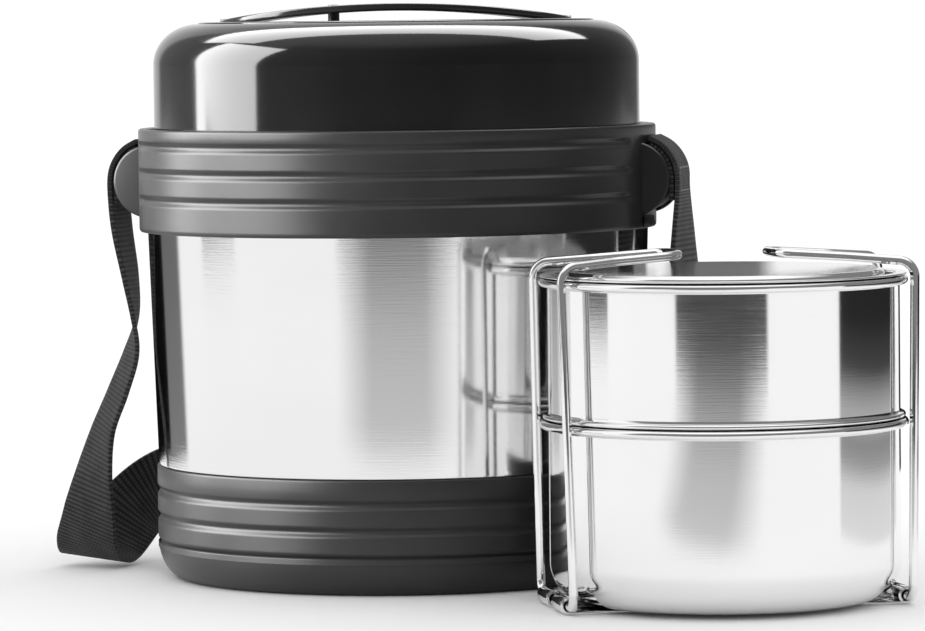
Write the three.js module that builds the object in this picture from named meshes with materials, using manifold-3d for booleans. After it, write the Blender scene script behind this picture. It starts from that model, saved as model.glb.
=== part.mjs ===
// Insulated tiffin carrier: a round insulated casing with a bayonet lid, a folding carry handle and
// a webbing strap, and beside it the rack that goes inside: two steel containers and their lid, held
// together by two swinging wire clips. Millimetres, +Z up. The origin is the centre of the casing's
// flat underside. -Y is the front.
import * as THREE from 'three';
import { mergeVertices } from 'three/addons/utils/BufferGeometryUtils.js';
import Module from 'manifold-3d';

const wasm = await Module();
wasm.setup();

// ---------------------------------------------------------------- driving dimensions

// Fits
const GAP = 0.3;                    // between two pieces that seat on each other
const TURN_FIT = 0.5;               // radial room between the lid's skirt and the collar's mouth
const SHEET = 0.6;                  // pressed steel sheet
const WALL = 2.4;                   // moulded plastic wall
const EDGE_BREAK = 1;               // flat that takes the sharpness off a moulding's edge
const PIN_FIT = 0.15;               // radial room round a pin

// Rack: containers, lid, wire clips
const CONTAINER_R = 52.9;           // outside of a container's straight wall
const LOWER_HEIGHT = 54.9;
const UPPER_HEIGHT = 46.3;
const NEST_DEPTH = 3.6;             // how far the upper container drops into the lower one's mouth
const BEAD_OUT = 2.5;               // how far a rolled rim stands out of the wall
const BEAD_HEIGHT = 2.6;
const LOWER_CORNER_R = 12;
const UPPER_CORNER_R = 4;
const LID_PLATEAU_RISE = 1.2;       // the lid's raised middle, above its flange
const LID_PLUG_DEPTH = 5;
const LID_PLUG_WIDTH = 4;           // width of the channel between the plug's wall and the middle
const WIRE_R = 1.4;
const WIRE_BEND_R = 5;
const CLIP_HALF_TOP = 20.5;         // half the distance between a clip's two uprights
const CLIP_HALF_FOOT = 24;
const CLIP_LEAN = 2.2;              // the uprights stand this much closer in at the foot
const CLIP_SIDE_GAP = 0.95;         // between an upright and the rolled rims
const LOOP_HALF = 13;               // half width of the loop that presses on the lid
const LOOP_TIP_R = 15;              // the loop's tip, from the rack's axis
const LOOP_RISE = 2.8;              // the loop climbs this much towards its tip
const LOOP_GAP = 1.8;               // between the lid's flange and the wire above it
const STRIP_THICK = 1;
const STRIP_HALF_WIDTH = 17;
const KNUCKLE_WALL = 1;
const KNUCKLE_GAP = 7;              // bare wire between the two knuckles of one side
const KNUCKLE_REACH = 2;            // how far the gap's cut goes past a knuckle
const RACK_TURN = 10.8;             // degrees, how the rack stands beside the casing
const RACK_BEARING = -46.25;        // degrees, direction from the casing's axis to the rack's
const RACK_STANDOFF = 0.75;         // between the collar and the clips

// Casing
const RACK_ROOM = 1.35;             // radial room round the rack inside the liner
const HEADROOM = 9.6;               // above the rack, up to the lid's inner plate
const INSULATION_WALL = 17.5;
const INSULATION_FLOOR = 18;
const BASE_FLOOR = 3;
const BASE_HEIGHT = 36.1;
const BODY_TAPER = 2.5;             // radius that the steel body loses from collar to base
const BASE_PROUD = 0.6;             // the base stands this much proud of the steel
const BASE_CORNER_IN = 8;           // rounded bottom edge, inwards and upwards
const BASE_CORNER_UP = 13;
const SPIGOT_HEIGHT = 6;            // the base's collar that goes up inside the steel body
const COLLAR_PROUD = 2.7;
const COLLAR_HEIGHT = 32.6;
const COLLAR_SKIRT = 8;             // overlap of the collar over the steel body
const MOUTH_WALL = 4.6;             // collar outside the lid's skirt
const LEDGE_THICK = 3;              // shelf that carries the liner's flange
const GROOVE_DEPTH = 0.9;
const GROOVE_WIDTH = 2.4;
const GROOVE_PITCH = 8.5;
const BASE_GROOVE_PITCH = 8.3;
const BASE_GROOVE_DROP = 7.8;       // from the base's top edge to its highest groove
const COLLAR_GROOVE_DROP = 5.3;     // from the collar's top edge to its highest groove
const LINER_CORNER_R = 6;
const LINER_FLANGE = 9;

// Outer lid and its handle
const LID_SINK = 4;                 // the inner plate lies this far below the collar's top
const SKIRT_DEPTH = 9;              // the lid's skirt inside the collar
const LID_RISE = 33.6;              // from the collar's top to the lid's rim bead
const SHOULDER_IN = 14.5;
const SHOULDER_UP = 13.5;
const LID_BEAD_WIDTH = 2.5;
const LID_RECESS = 2.6;
const SEAL_HEIGHT = 6;
const SEAL_WIDTH = 4;
const SEAL_STANDOFF = 1.5;          // the seal's inside, outwards from the liner's bore
const SEAL_BEVEL = 1;
const LID_PLATE_WALL = 8;
const INSULATION_NECK = 4;          // the lid's insulation clears the recess wall by this much
const BAYONET_COUNT = 3;
const BAYONET_OUT = 2;
const BAYONET_HEIGHT = 3;
const BAYONET_HALF_ANGLE = 6;       // degrees
const BAYONET_SIDE_ROOM = 1.5;      // degrees on each side of a lug in its slot
const BAYONET_FIT = 0.6;            // between a lug's end and the bottom of its slot
const BAYONET_TRAVEL = 30;          // degrees from dropped in to locked
const HANDLE_HALF_SPAN = 54;
const HANDLE_REACH = 40;            // from the pivots to the middle of the grip
const HANDLE_CROWN = 4.8;           // the grip's middle stands this much higher than its pivots
const HANDLE_THICK = 2.4;
const HANDLE_END_WIDTH = 4;
const HANDLE_GRIP_WIDTH = 9;
const HANDLE_PIVOT_RISE = 1.9;      // pivot height above the recess floor
const PIN_R = 1;
const PIN_IN_POST = 3.6;            // how far a pin goes in past the handle's eye
const EYE_R = 1.7;
const POST_HALF = 1.9;              // half width of a post, and its height above the pin
const POST_LENGTH = 3.5;
const CATCH_X = -19;
const CATCH_R = 1.8;
const CATCH_GAP = 0.8;              // between the catch and the folded grip
const CATCH_PROUD = 0.4;            // the catch stands this much above the grip

// Strap and the blocks it is wound round
const STRAP_WIDTH = 23;
const STRAP_THICK = 1.5;
const ANCHOR_TURN = 11;             // degrees, how the strap's axis is turned from X
const ANCHOR_R = 11.7;              // radius of an anchor's half-round ears
const ANCHOR_PROUD = 7.4;           // how far the ears stand out of the collar
const ANCHOR_EAR = 2.4;
const ANCHOR_DROP = 0.7;            // the drum's axis, below the collar's mid height
const STRAP_SIDE_ROOM = 0.6;        // between the webbing and an ear
const DRUM_R = 10.7;
const STRAP_END_HANG = 7;           // the sewn end, below the drum's axis
const STRAP_STEPS = 80;

const CASING_SIDES = 40;
const RACK_SIDES = 36;

// ---------------------------------------------------------------- derived dimensions

const rimR = CONTAINER_R + BEAD_OUT;
const clipR = Math.sqrt((rimR + CLIP_SIDE_GAP + WIRE_R) ** 2 - CLIP_HALF_TOP ** 2);
const clipFootR = clipR - CLIP_LEAN;
const knuckleR = WIRE_R + GAP + KNUCKLE_WALL;
const pivotZ = knuckleR;
const lowerZ = STRIP_THICK + GAP;
const lowerRimZ = lowerZ + LOWER_HEIGHT;
const upperZ = lowerRimZ - NEST_DEPTH;
const upperRimZ = upperZ + UPPER_HEIGHT;
const lidFlangeZ = upperRimZ + GAP;
const loopZ = lidFlangeZ + SHEET + LOOP_GAP + WIRE_R;
const rackHeight = loopZ + LOOP_RISE + WIRE_R;
const rackR = rimR + CLIP_SIDE_GAP + 2 * WIRE_R;

const linerR = rackR + RACK_ROOM;
const bodyR = linerR + SHEET + GAP + INSULATION_WALL + GAP + SHEET;
const bodyFootR = bodyR - BODY_TAPER;
const baseR = bodyFootR + BASE_PROUD;
const collarR = bodyR + COLLAR_PROUD;
const cavityZ = BASE_FLOOR + GAP + INSULATION_FLOOR + GAP + SHEET;
const lidPlateZ = cavityZ + rackHeight + HEADROOM;
const collarTopZ = lidPlateZ + LID_SINK;
const collarFootZ = collarTopZ - COLLAR_HEIGHT;
const ledgeZ = lidPlateZ - GAP - SEAL_HEIGHT - GAP - SHEET - GAP;
const skirtFootZ = collarTopZ - SKIRT_DEPTH;
const mouthR = collarR - MOUTH_WALL;
const lidR = mouthR - TURN_FIT;
const lidTopZ = collarTopZ + LID_RISE;
const recessR = lidR - SHOULDER_IN - LID_BEAD_WIDTH;
const recessZ = lidTopZ - LID_RECESS;
const handleZ = recessZ + HANDLE_PIVOT_RISE;
const anchorCentreR = collarR + ANCHOR_PROUD - ANCHOR_R;
const anchorZ = collarFootZ + COLLAR_HEIGHT / 2 - ANCHOR_DROP;
const rackDistance = collarR + RACK_STANDOFF + rackR;

// ---------------------------------------------------------------- materials

const finish = (color, roughness, metalness) =>
  new THREE.MeshStandardMaterial({ color, roughness, metalness });
const brushedSteel = finish(0xc4c4c4, 0.3, 1);
const polishedSteel = finish(0xd6d6d6, 0.15, 1);
const greyPlastic = finish(0x5a5b5d, 0.5, 0);
const glossBlackPlastic = finish(0x1b1b1d, 0.12, 0);
const foam = finish(0xe8dfc4, 0.9, 0);
const silicone = finish(0xd8d8d4, 0.6, 0);
const webbing = finish(0x3a3a3c, 0.9, 0);

// ---------------------------------------------------------------- shape helpers

const degrees = (angle) => THREE.MathUtils.degToRad(angle);

// Points on a quarter of an ellipse, from angle a to angle b in degrees.
function arc(cx, cz, rx, rz, a, b, steps) {
  const points = [];
  for (let i = 0; i <= steps; i += 1) {
    const angle = degrees(a + (b - a) * (i / steps));
    points.push([cx + rx * Math.cos(angle), cz + rz * Math.sin(angle)]);
  }
  return points;
}

// A round piece from its section: [radius, height] points, counter-clockwise, first point repeated
// by the function unless the section starts and ends on the axis.
function turned(section, sides) {
  const onAxis = section[0][0] === 0 && section[section.length - 1][0] === 0;
  const outline = onAxis ? section : [...section, section[0]];
  const points = outline.map(([r, z]) => new THREE.Vector2(r, z));
  const geometry = new THREE.LatheGeometry(points, sides);
  return geometry.rotateX(Math.PI / 2);
}

// A skin over one convex section carried along a row of stations, with a flat cap at each end.
// Each station gives a point and the directions of the section's two axes.
function swept(stations, section) {
  const positions = [];
  const index = [];
  const sides = section.length;
  stations.forEach(({ point, across, up, scale = 1 }) => {
    section.forEach(([a, b]) => {
      const vertex = point.clone().addScaledVector(across, a * scale).addScaledVector(up, b);
      positions.push(vertex.x, vertex.y, vertex.z);
    });
  });
  for (let i = 0; i + 1 < stations.length; i += 1) {
    for (let j = 0; j < sides; j += 1) {
      const a = i * sides + j;
      const b = i * sides + ((j + 1) % sides);
      index.push(a, b, b + sides, a, b + sides, a + sides);
    }
  }
  const last = (stations.length - 1) * sides;
  for (let j = 1; j + 1 < sides; j += 1) {
    index.push(0, j + 1, j);
    index.push(last, last + j, last + j + 1);
  }
  const geometry = new THREE.BufferGeometry();
  geometry.setAttribute('position', new THREE.Float32BufferAttribute(positions, 3));
  geometry.setIndex(index);
  return geometry;
}

// Stations along a row of points, each turned as little as possible from the one before.
function stationsAlong(points) {
  const stations = [];
  let up = new THREE.Vector3(0, 0, 1);
  points.forEach((point, i) => {
    const before = points[Math.max(i - 1, 0)];
    const after = points[Math.min(i + 1, points.length - 1)];
    const along = after.clone().sub(before).normalize();
    if (i === 0 && Math.abs(along.z) > 0.9) up.set(1, 0, 0);
    const across = along.clone().cross(up).normalize();
    up = across.clone().cross(along).normalize();
    stations.push({ point, across, up: up.clone() });
  });
  return stations;
}

const circleSection = (radius, sides) => Array.from({ length: sides }, (_, i) => {
  const angle = (2 * Math.PI * (i + 0.5)) / sides;
  return [radius * Math.cos(angle), -radius * Math.sin(angle)];
});
const flatSection = (width, thickness) => [
  [-width / 2, thickness / 2], [width / 2, thickness / 2],
  [width / 2, -thickness / 2], [-width / 2, -thickness / 2],
];

// Rounds the corners of a polyline: each corner is [point, radius].
function rounded(corners, steps) {
  const points = [corners[0][0]];
  for (let i = 1; i + 1 < corners.length; i += 1) {
    const [corner, radius] = corners[i];
    const back = corners[i - 1][0].clone().sub(corner).normalize();
    const ahead = corners[i + 1][0].clone().sub(corner).normalize();
    const half = back.angleTo(ahead) / 2;
    const reach = radius / Math.tan(half);
    const middle = back.clone().add(ahead).normalize().multiplyScalar(radius / Math.sin(half));
    const centre = corner.clone().add(middle);
    const from = corner.clone().addScaledVector(back, reach).sub(centre);
    const to = corner.clone().addScaledVector(ahead, reach).sub(centre);
    const swing = from.angleTo(to);
    for (let j = 0; j <= steps; j += 1) {
      const t = j / steps;
      const a = Math.sin((1 - t) * swing) / Math.sin(swing);
      const b = Math.sin(t * swing) / Math.sin(swing);
      points.push(centre.clone().addScaledVector(from, a).addScaledVector(to, b));
    }
  }
  points.push(corners[corners.length - 1][0]);
  return points;
}

function toManifold(geometry) {
  const bare = geometry.clone();
  bare.deleteAttribute('normal');
  bare.deleteAttribute('uv');
  const merged = mergeVertices(bare, 1e-4);
  const mesh = new wasm.Mesh({
    numProp: 3,
    vertProperties: new Float32Array(merged.attributes.position.array),
    triVerts: new Uint32Array(merged.index.array),
  });
  return new wasm.Manifold(mesh);
}

function fromManifold(solid) {
  const mesh = solid.getMesh();
  const geometry = new THREE.BufferGeometry();
  geometry.setAttribute('position', new THREE.BufferAttribute(mesh.vertProperties, 3));
  geometry.setIndex(new THREE.BufferAttribute(mesh.triVerts, 1));
  return geometry;
}

const joined = (first, ...others) =>
  others.reduce((solid, other) => solid.add(toManifold(other)), toManifold(first));
const cut = (solid, ...tools) =>
  tools.reduce((left, tool) => left.subtract(toManifold(tool)), solid);

// A cylinder along X, Y or Z, centred on (x, y, z).
function bar(axis, radius, length, x, y, z, sides) {
  const geometry = new THREE.CylinderGeometry(radius, radius, length, sides);
  if (axis === 'x') geometry.rotateZ(Math.PI / 2);
  if (axis === 'z') geometry.rotateX(Math.PI / 2);
  return geometry.translate(x, y, z);
}

const block = (x0, x1, y0, y1, z0, z1) =>
  new THREE.BoxGeometry(x1 - x0, y1 - y0, z1 - z0)
    .translate((x0 + x1) / 2, (y0 + y1) / 2, (z0 + z1) / 2);

// A ring sector between two radii and two heights, centred on an angle in degrees.
function ringSector(r0, r1, z0, z1, middle, halfAngle) {
  const shape = new THREE.Shape();
  const a = degrees(middle - halfAngle);
  const b = degrees(middle + halfAngle);
  shape.absarc(0, 0, r1, a, b, false);
  shape.absarc(0, 0, r0, b, a, true);
  const curveSegments = Math.max(2, Math.ceil(halfAngle / 4));
  const flat = { depth: z1 - z0, bevelEnabled: false, curveSegments };
  return new THREE.ExtrudeGeometry(shape, flat).translate(0, 0, z0);
}

const carrier = new THREE.Group();
carrier.name = 'tiffin_carrier';

function add(parent, name, geometry, material) {
  const mesh = new THREE.Mesh(geometry, material);
  mesh.name = name;
  parent.add(mesh);
  return mesh;
}

// ---------------------------------------------------------------- casing

// The outside of a ribbed moulding, going up: flat bands with a shallow groove at each height.
const grooved = (radius, heights) => heights.flatMap((z) => [
  [radius, z - GROOVE_WIDTH / 2],
  [radius - GROOVE_DEPTH, z - GROOVE_WIDTH / 5],
  [radius - GROOVE_DEPTH, z + GROOVE_WIDTH / 5],
  [radius, z + GROOVE_WIDTH / 2],
]);

function baseCup() {
  const top = BASE_HEIGHT;
  const spigotR = bodyFootR - SHEET - GAP;
  const innerR = spigotR - WALL;
  const grooves = [2, 1, 0].map((i) => top - BASE_GROOVE_DROP - i * BASE_GROOVE_PITCH);
  return turned([
    [0, 0],
    ...arc(baseR - BASE_CORNER_IN, BASE_CORNER_UP, BASE_CORNER_IN, BASE_CORNER_UP, -90, -18, 5),
    ...grooved(baseR, grooves),
    [baseR, top - BASE_PROUD],
    [baseR - BASE_PROUD, top],
    [spigotR, top],
    [spigotR, top + SPIGOT_HEIGHT],
    [innerR, top + SPIGOT_HEIGHT],
    [innerR, BASE_FLOOR],
    [0, BASE_FLOOR],
  ], CASING_SIDES);
}

function outerShell() {
  const foot = BASE_HEIGHT + GAP;
  const top = collarFootZ + COLLAR_SKIRT - GAP;
  return turned([
    [bodyFootR - SHEET, foot],
    [bodyFootR, foot],
    [bodyR, collarFootZ],
    [bodyR, top],
    [bodyR - SHEET, top],
    [bodyR - SHEET, collarFootZ],
  ], CASING_SIDES);
}

function collarRing() {
  const grooves = [2, 1, 0].map((i) => collarTopZ - COLLAR_GROOVE_DROP - i * GROOVE_PITCH);
  const skirtR = bodyR + GAP;
  const innerR = bodyR - SHEET - WALL;
  const ring = turned([
    [collarR - EDGE_BREAK / 2, collarFootZ],
    [collarR, collarFootZ + EDGE_BREAK],
    ...grooved(collarR, grooves),
    [collarR, collarTopZ - EDGE_BREAK],
    [collarR - EDGE_BREAK, collarTopZ],
    [mouthR, collarTopZ],
    [mouthR, ledgeZ],
    [linerR + SHEET + GAP, ledgeZ],
    [linerR + SHEET + GAP, ledgeZ - LEDGE_THICK],
    [innerR, ledgeZ - LEDGE_THICK],
    [innerR, collarFootZ + COLLAR_SKIRT],
    [skirtR, collarFootZ + COLLAR_SKIRT],
    [skirtR, collarFootZ],
  ], CASING_SIDES);
  const slotR = mouthR + BAYONET_OUT + BAYONET_FIT / 3;
  const slotZ = skirtFootZ - GAP;
  const tools = [];
  for (let i = 0; i < BAYONET_COUNT; i += 1) {
    const middle = 90 + (i * 360) / BAYONET_COUNT;
    const half = BAYONET_HALF_ANGLE + BAYONET_SIDE_ROOM;
    tools.push(ringSector(mouthR - WALL, slotR, slotZ, collarTopZ + EDGE_BREAK, middle, half));
    tools.push(ringSector(mouthR - WALL, slotR, slotZ, slotZ + BAYONET_HEIGHT + 2 * GAP,
      middle - BAYONET_TRAVEL / 2, half + BAYONET_TRAVEL / 2));
  }
  return fromManifold(cut(toManifold(ring), ...tools));
}

function innerLiner() {
  const flangeZ = ledgeZ + GAP;
  const outside = linerR + SHEET;
  const corner = LINER_CORNER_R;
  const inside = corner - SHEET;
  return turned([
    [0, cavityZ - SHEET],
    ...arc(outside - corner, cavityZ - SHEET + corner, corner, corner, -90, 0, 3),
    [outside, flangeZ],
    [outside + LINER_FLANGE, flangeZ],
    [outside + LINER_FLANGE, flangeZ + SHEET],
    [linerR, flangeZ + SHEET],
    ...arc(linerR - inside, cavityZ + inside, inside, inside, 0, -90, 3),
    [0, cavityZ],
  ], CASING_SIDES);
}

function insulationJacket() {
  const bottom = BASE_FLOOR + GAP;
  const lowR = bodyFootR - SHEET - GAP - WALL - GAP;
  const stepZ = BASE_HEIGHT + SPIGOT_HEIGHT + GAP;
  const highR = bodyFootR - SHEET - GAP;
  const innerR = linerR + SHEET + GAP;
  const top = collarFootZ + COLLAR_SKIRT - GAP;
  return turned([
    [0, bottom],
    [lowR, bottom],
    [lowR, stepZ],
    [highR, stepZ],
    [highR, top],
    [innerR, top],
    [innerR, cavityZ - SHEET - GAP],
    [0, cavityZ - SHEET - GAP],
  ], CASING_SIDES);
}

add(carrier, 'base_cup', baseCup(), greyPlastic);
add(carrier, 'outer_shell', outerShell(), brushedSteel);
add(carrier, 'collar_ring', collarRing(), greyPlastic);
add(carrier, 'inner_liner', innerLiner(), brushedSteel);
add(carrier, 'insulation_jacket', insulationJacket(), foam);

// ---------------------------------------------------------------- strap anchors

// A half-round block on the collar: a drum between two ears. The strap is wound round the drum.
function strapAnchor() {
  const half = STRAP_WIDTH / 2 + STRAP_SIDE_ROOM;
  const body = joined(
    bar('y', DRUM_R, 2 * half + ANCHOR_EAR, anchorCentreR, 0, anchorZ, 24),
    bar('y', ANCHOR_R, ANCHOR_EAR, anchorCentreR, half + ANCHOR_EAR / 2, anchorZ, 24),
    bar('y', ANCHOR_R, ANCHOR_EAR, anchorCentreR, -half - ANCHOR_EAR / 2, anchorZ, 24),
  );
  const collarSpace = bar('z', collarR + GAP, 4 * ANCHOR_R, 0, 0, anchorZ, 96);
  return fromManifold(cut(body, collarSpace));
}

const RIGHT_TURN = degrees(-ANCHOR_TURN);
const LEFT_TURN = degrees(180 - ANCHOR_TURN);
add(carrier, 'strap_anchor_right', strapAnchor().rotateZ(RIGHT_TURN), greyPlastic);
add(carrier, 'strap_anchor_left', strapAnchor().rotateZ(LEFT_TURN), greyPlastic);

// ---------------------------------------------------------------- outer lid

function outerLid() {
  const shoulderZ = lidTopZ - SHOULDER_UP;
  const shoulderR = lidR - SHOULDER_IN;
  const shell = turned([
    [lidR - WALL, skirtFootZ],
    [lidR, skirtFootZ],
    [lidR, collarTopZ],
    ...arc(shoulderR, shoulderZ, SHOULDER_IN, SHOULDER_UP, 0, 90, 6),
    [recessR + EDGE_BREAK / 2, lidTopZ],
    [recessR, recessZ],
    [0, recessZ],
    [0, recessZ - WALL],
    [recessR, recessZ - WALL],
    ...arc(shoulderR, shoulderZ, SHOULDER_IN - WALL, SHOULDER_UP - WALL, 85, 0, 4),
  ], CASING_SIDES);
  const lugs = [];
  for (let i = 0; i < BAYONET_COUNT; i += 1) {
    const middle = 90 + (i * 360) / BAYONET_COUNT;
    lugs.push(ringSector(lidR - WALL / 2, mouthR + BAYONET_OUT - BAYONET_FIT * 2 / 3, skirtFootZ,
      skirtFootZ + BAYONET_HEIGHT, middle, BAYONET_HALF_ANGLE));
  }
  const postX = HANDLE_HALF_SPAN - HANDLE_END_WIDTH / 2 - 2 * GAP - POST_LENGTH / 2;
  const posts = [-postX, postX].map((x) => block(
    x - POST_LENGTH / 2, x + POST_LENGTH / 2, -POST_HALF, POST_HALF,
    recessZ - WALL / 2, handleZ + POST_HALF,
  ));
  const bores = [-postX, postX].map((x) =>
    bar('x', PIN_R + PIN_FIT, 2 * POST_LENGTH, x, 0, handleZ, 12));
  return fromManifold(cut(joined(shell, ...lugs, ...posts), ...bores));
}

function lidInsulation() {
  const foot = lidPlateZ + SHEET + GAP;
  const radius = lidR - WALL - GAP - 2 * SHEET - GAP;
  const top = recessZ - WALL - GAP;
  return turned([
    [0, foot],
    [radius, foot],
    [radius, lidTopZ - SHOULDER_UP - WALL],
    [recessR - INSULATION_NECK, top],
    [0, top],
  ], CASING_SIDES);
}

function lidPlate() {
  const radius = lidR - WALL - GAP;
  const wallTop = lidPlateZ + LID_PLATE_WALL;
  return turned([
    [0, lidPlateZ],
    [radius, lidPlateZ],
    [radius, wallTop],
    [radius - SHEET, wallTop],
    [radius - SHEET, lidPlateZ + SHEET],
    [0, lidPlateZ + SHEET],
  ], CASING_SIDES);
}

function lidSeal() {
  const foot = lidPlateZ - GAP - SEAL_HEIGHT;
  const innerR = linerR + SEAL_STANDOFF;
  return turned([
    [innerR, foot + SEAL_BEVEL],
    [innerR + SEAL_WIDTH / 2, foot],
    [innerR + SEAL_WIDTH, foot + SEAL_BEVEL],
    [innerR + SEAL_WIDTH, foot + SEAL_HEIGHT],
    [innerR, foot + SEAL_HEIGHT],
  ], CASING_SIDES);
}

add(carrier, 'outer_lid', outerLid(), glossBlackPlastic);
add(carrier, 'lid_insulation', lidInsulation(), foam);
add(carrier, 'lid_inner_plate', lidPlate(), polishedSteel);
add(carrier, 'lid_seal', lidSeal(), silicone);

// The carry handle is a crowned half-oval strip. Its eyes turn on two pins in the lid's recess.
const handleTop = (x) => handleZ + HANDLE_CROWN * (1 - (x / HANDLE_HALF_SPAN) ** 2);
const handleWidth = (angle) =>
  HANDLE_END_WIDTH + (HANDLE_GRIP_WIDTH - HANDLE_END_WIDTH) * Math.cos(angle);

function carryHandle() {
  const steps = 22;
  const stations = [];
  for (let i = 0; i <= steps; i += 1) {
    const angle = degrees(-90 + (180 * i) / steps);
    const x = HANDLE_HALF_SPAN * Math.sin(angle);
    const y = -HANDLE_REACH * Math.cos(angle);
    const point = new THREE.Vector3(x, y, handleTop(x));
    const across = new THREE.Vector3(
      HANDLE_REACH * Math.sin(angle), -HANDLE_HALF_SPAN * Math.cos(angle), 0,
    ).normalize();
    stations.push({ point, across, up: new THREE.Vector3(0, 0, 1), scale: handleWidth(angle) });
  }
  const half = HANDLE_THICK / 2;
  const section = [
    [-0.5, half * 0.4], [-0.3, half], [0.3, half], [0.5, half * 0.4], [0.5, -half], [-0.5, -half],
  ];
  const strip = swept(stations, section);
  const eyes = [-1, 1].map((side) =>
    bar('x', EYE_R, HANDLE_END_WIDTH, side * HANDLE_HALF_SPAN, 0, handleZ, 16));
  const bores = [-1, 1].map((side) =>
    bar('x', PIN_R + PIN_FIT, 2 * HANDLE_END_WIDTH, side * HANDLE_HALF_SPAN, 0, handleZ, 12));
  return fromManifold(cut(joined(strip, ...eyes), ...bores));
}

add(carrier, 'carry_handle', carryHandle(), glossBlackPlastic);

const pinX = HANDLE_HALF_SPAN - PIN_IN_POST / 2;
const handlePin = (x) => bar('x', PIN_R, HANDLE_END_WIDTH + PIN_IN_POST, x, 0, handleZ, 12);
add(carrier, 'handle_pin_right', handlePin(pinX), polishedSteel);
add(carrier, 'handle_pin_left', handlePin(-pinX), polishedSteel);

// The catch is a nib beside the folded grip, which snaps past it.
function handleCatch() {
  const angle = Math.asin(CATCH_X / HANDLE_HALF_SPAN);
  const y = -HANDLE_REACH * Math.cos(angle) + handleWidth(angle) / 2 + CATCH_R + CATCH_GAP;
  const height = handleTop(CATCH_X) + HANDLE_THICK / 2 - recessZ - GAP + CATCH_PROUD;
  return bar('z', CATCH_R, height, CATCH_X, y, recessZ + GAP + height / 2, 14);
}

add(carrier, 'handle_catch', handleCatch(), greyPlastic);

// ---------------------------------------------------------------- rack

const rack = new THREE.Group();
const rackBearing = degrees(RACK_BEARING);
rack.position.set(rackDistance * Math.cos(rackBearing), rackDistance * Math.sin(rackBearing), 0);
rack.rotation.z = degrees(RACK_TURN);
carrier.add(rack);

// A rolled rim: outside of the bead going up, then over it to the inside of the wall.
const rolledRim = (top) => [
  [CONTAINER_R, top - BEAD_HEIGHT],
  [rimR - 0.5, top - BEAD_HEIGHT],
  [rimR, top - BEAD_HEIGHT * 0.7],
  [rimR, top - BEAD_HEIGHT * 0.3],
  [rimR - 0.5, top],
  [CONTAINER_R - SHEET, top],
];

function lowerContainer() {
  const c = LOWER_CORNER_R;
  const inside = c - SHEET;
  return turned([
    [0, lowerZ],
    ...arc(CONTAINER_R - c, lowerZ + c, c, c, -90, 0, 4),
    ...rolledRim(lowerRimZ),
    ...arc(CONTAINER_R - c, lowerZ + c, inside, inside, 0, -90, 4),
    [0, lowerZ + SHEET],
  ], RACK_SIDES);
}

function upperContainer() {
  const c = UPPER_CORNER_R;
  const nestR = CONTAINER_R - SHEET - GAP;
  const shelfZ = lowerRimZ + GAP;
  return turned([
    [0, upperZ],
    ...arc(nestR - c, upperZ + c, c, c, -90, -30, 2),
    [nestR, shelfZ],
    [rimR - 0.9, shelfZ],
    [rimR - 0.9, shelfZ + 1.2],
    [CONTAINER_R, shelfZ + 1.8],
    ...rolledRim(upperRimZ),
    [CONTAINER_R - SHEET, shelfZ + 1.8],
    [nestR - SHEET, shelfZ],
    ...arc(nestR - c, upperZ + c, c - SHEET, c - SHEET, -30, -90, 2),
    [0, upperZ + SHEET],
  ], RACK_SIDES);
}

function containerLid() {
  const plugR = CONTAINER_R - SHEET - GAP;
  const top = lidFlangeZ + SHEET;
  const plateauR = plugR - LID_PLUG_WIDTH;
  return turned([
    [0, top + LID_PLATEAU_RISE - SHEET],
    [plateauR - 1, top + LID_PLATEAU_RISE - SHEET],
    [plateauR, top - LID_PLUG_DEPTH + 1],
    [plateauR, top - LID_PLUG_DEPTH],
    [plugR, top - LID_PLUG_DEPTH],
    [plugR, lidFlangeZ],
    [rimR - 0.4, lidFlangeZ],
    [rimR - 0.4, top],
    [plugR - SHEET, top],
    [plugR - SHEET, top - LID_PLUG_DEPTH + SHEET],
    [plateauR + SHEET, top - LID_PLUG_DEPTH + SHEET],
    [plateauR + SHEET, top + LID_PLATEAU_RISE - 0.6],
    [plateauR, top + LID_PLATEAU_RISE],
    [0, top + LID_PLATEAU_RISE],
  ], RACK_SIDES);
}

// A sheet strip under the lower container. Each end is rolled into two knuckles for a clip's foot.
function baseStrip() {
  const width = 2 * STRIP_HALF_WIDTH;
  const parts = [block(-clipFootR, clipFootR, -STRIP_HALF_WIDTH, STRIP_HALF_WIDTH, 0, STRIP_THICK)];
  const tools = [];
  [-1, 1].forEach((side) => {
    const x = side * clipFootR;
    parts.push(bar('y', knuckleR, width, x, 0, pivotZ, 16));
    tools.push(bar('y', WIRE_R + GAP, 2 * width, x, 0, pivotZ, 16));
    const reach = knuckleR + KNUCKLE_REACH;
    tools.push(block(x - reach, x + reach, -KNUCKLE_GAP / 2, KNUCKLE_GAP / 2, -reach, 2 * knuckleR + 1));
  });
  return fromManifold(cut(joined(...parts), ...tools));
}

// One clip: a wire from the middle of its foot, up one upright, round the loop on the lid, and back.
// side is -1 for the left clip and 1 for the right one.
function clipRoute(side) {
  const at = (r, y, z) => new THREE.Vector3(side * r, y, z);
  const half = [
    [at(clipFootR, GAP, pivotZ), 0],
    [at(clipFootR, CLIP_HALF_FOOT, pivotZ), 4],
    [at(clipR, CLIP_HALF_TOP, loopZ), WIRE_BEND_R],
    [at(LOOP_TIP_R + LOOP_HALF * 1.6, LOOP_HALF, loopZ + LOOP_RISE * 0.5), 14],
    [at(LOOP_TIP_R, LOOP_HALF * 0.8, loopZ + LOOP_RISE), 7],
  ];
  const mirrored = half.map(([point, radius]) => [point.clone().setY(-point.y), radius]).reverse();
  return rounded([...half, ...mirrored], 4);
}

function wireClip(side) {
  return swept(stationsAlong(clipRoute(side)), circleSection(WIRE_R, 8));
}

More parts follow.
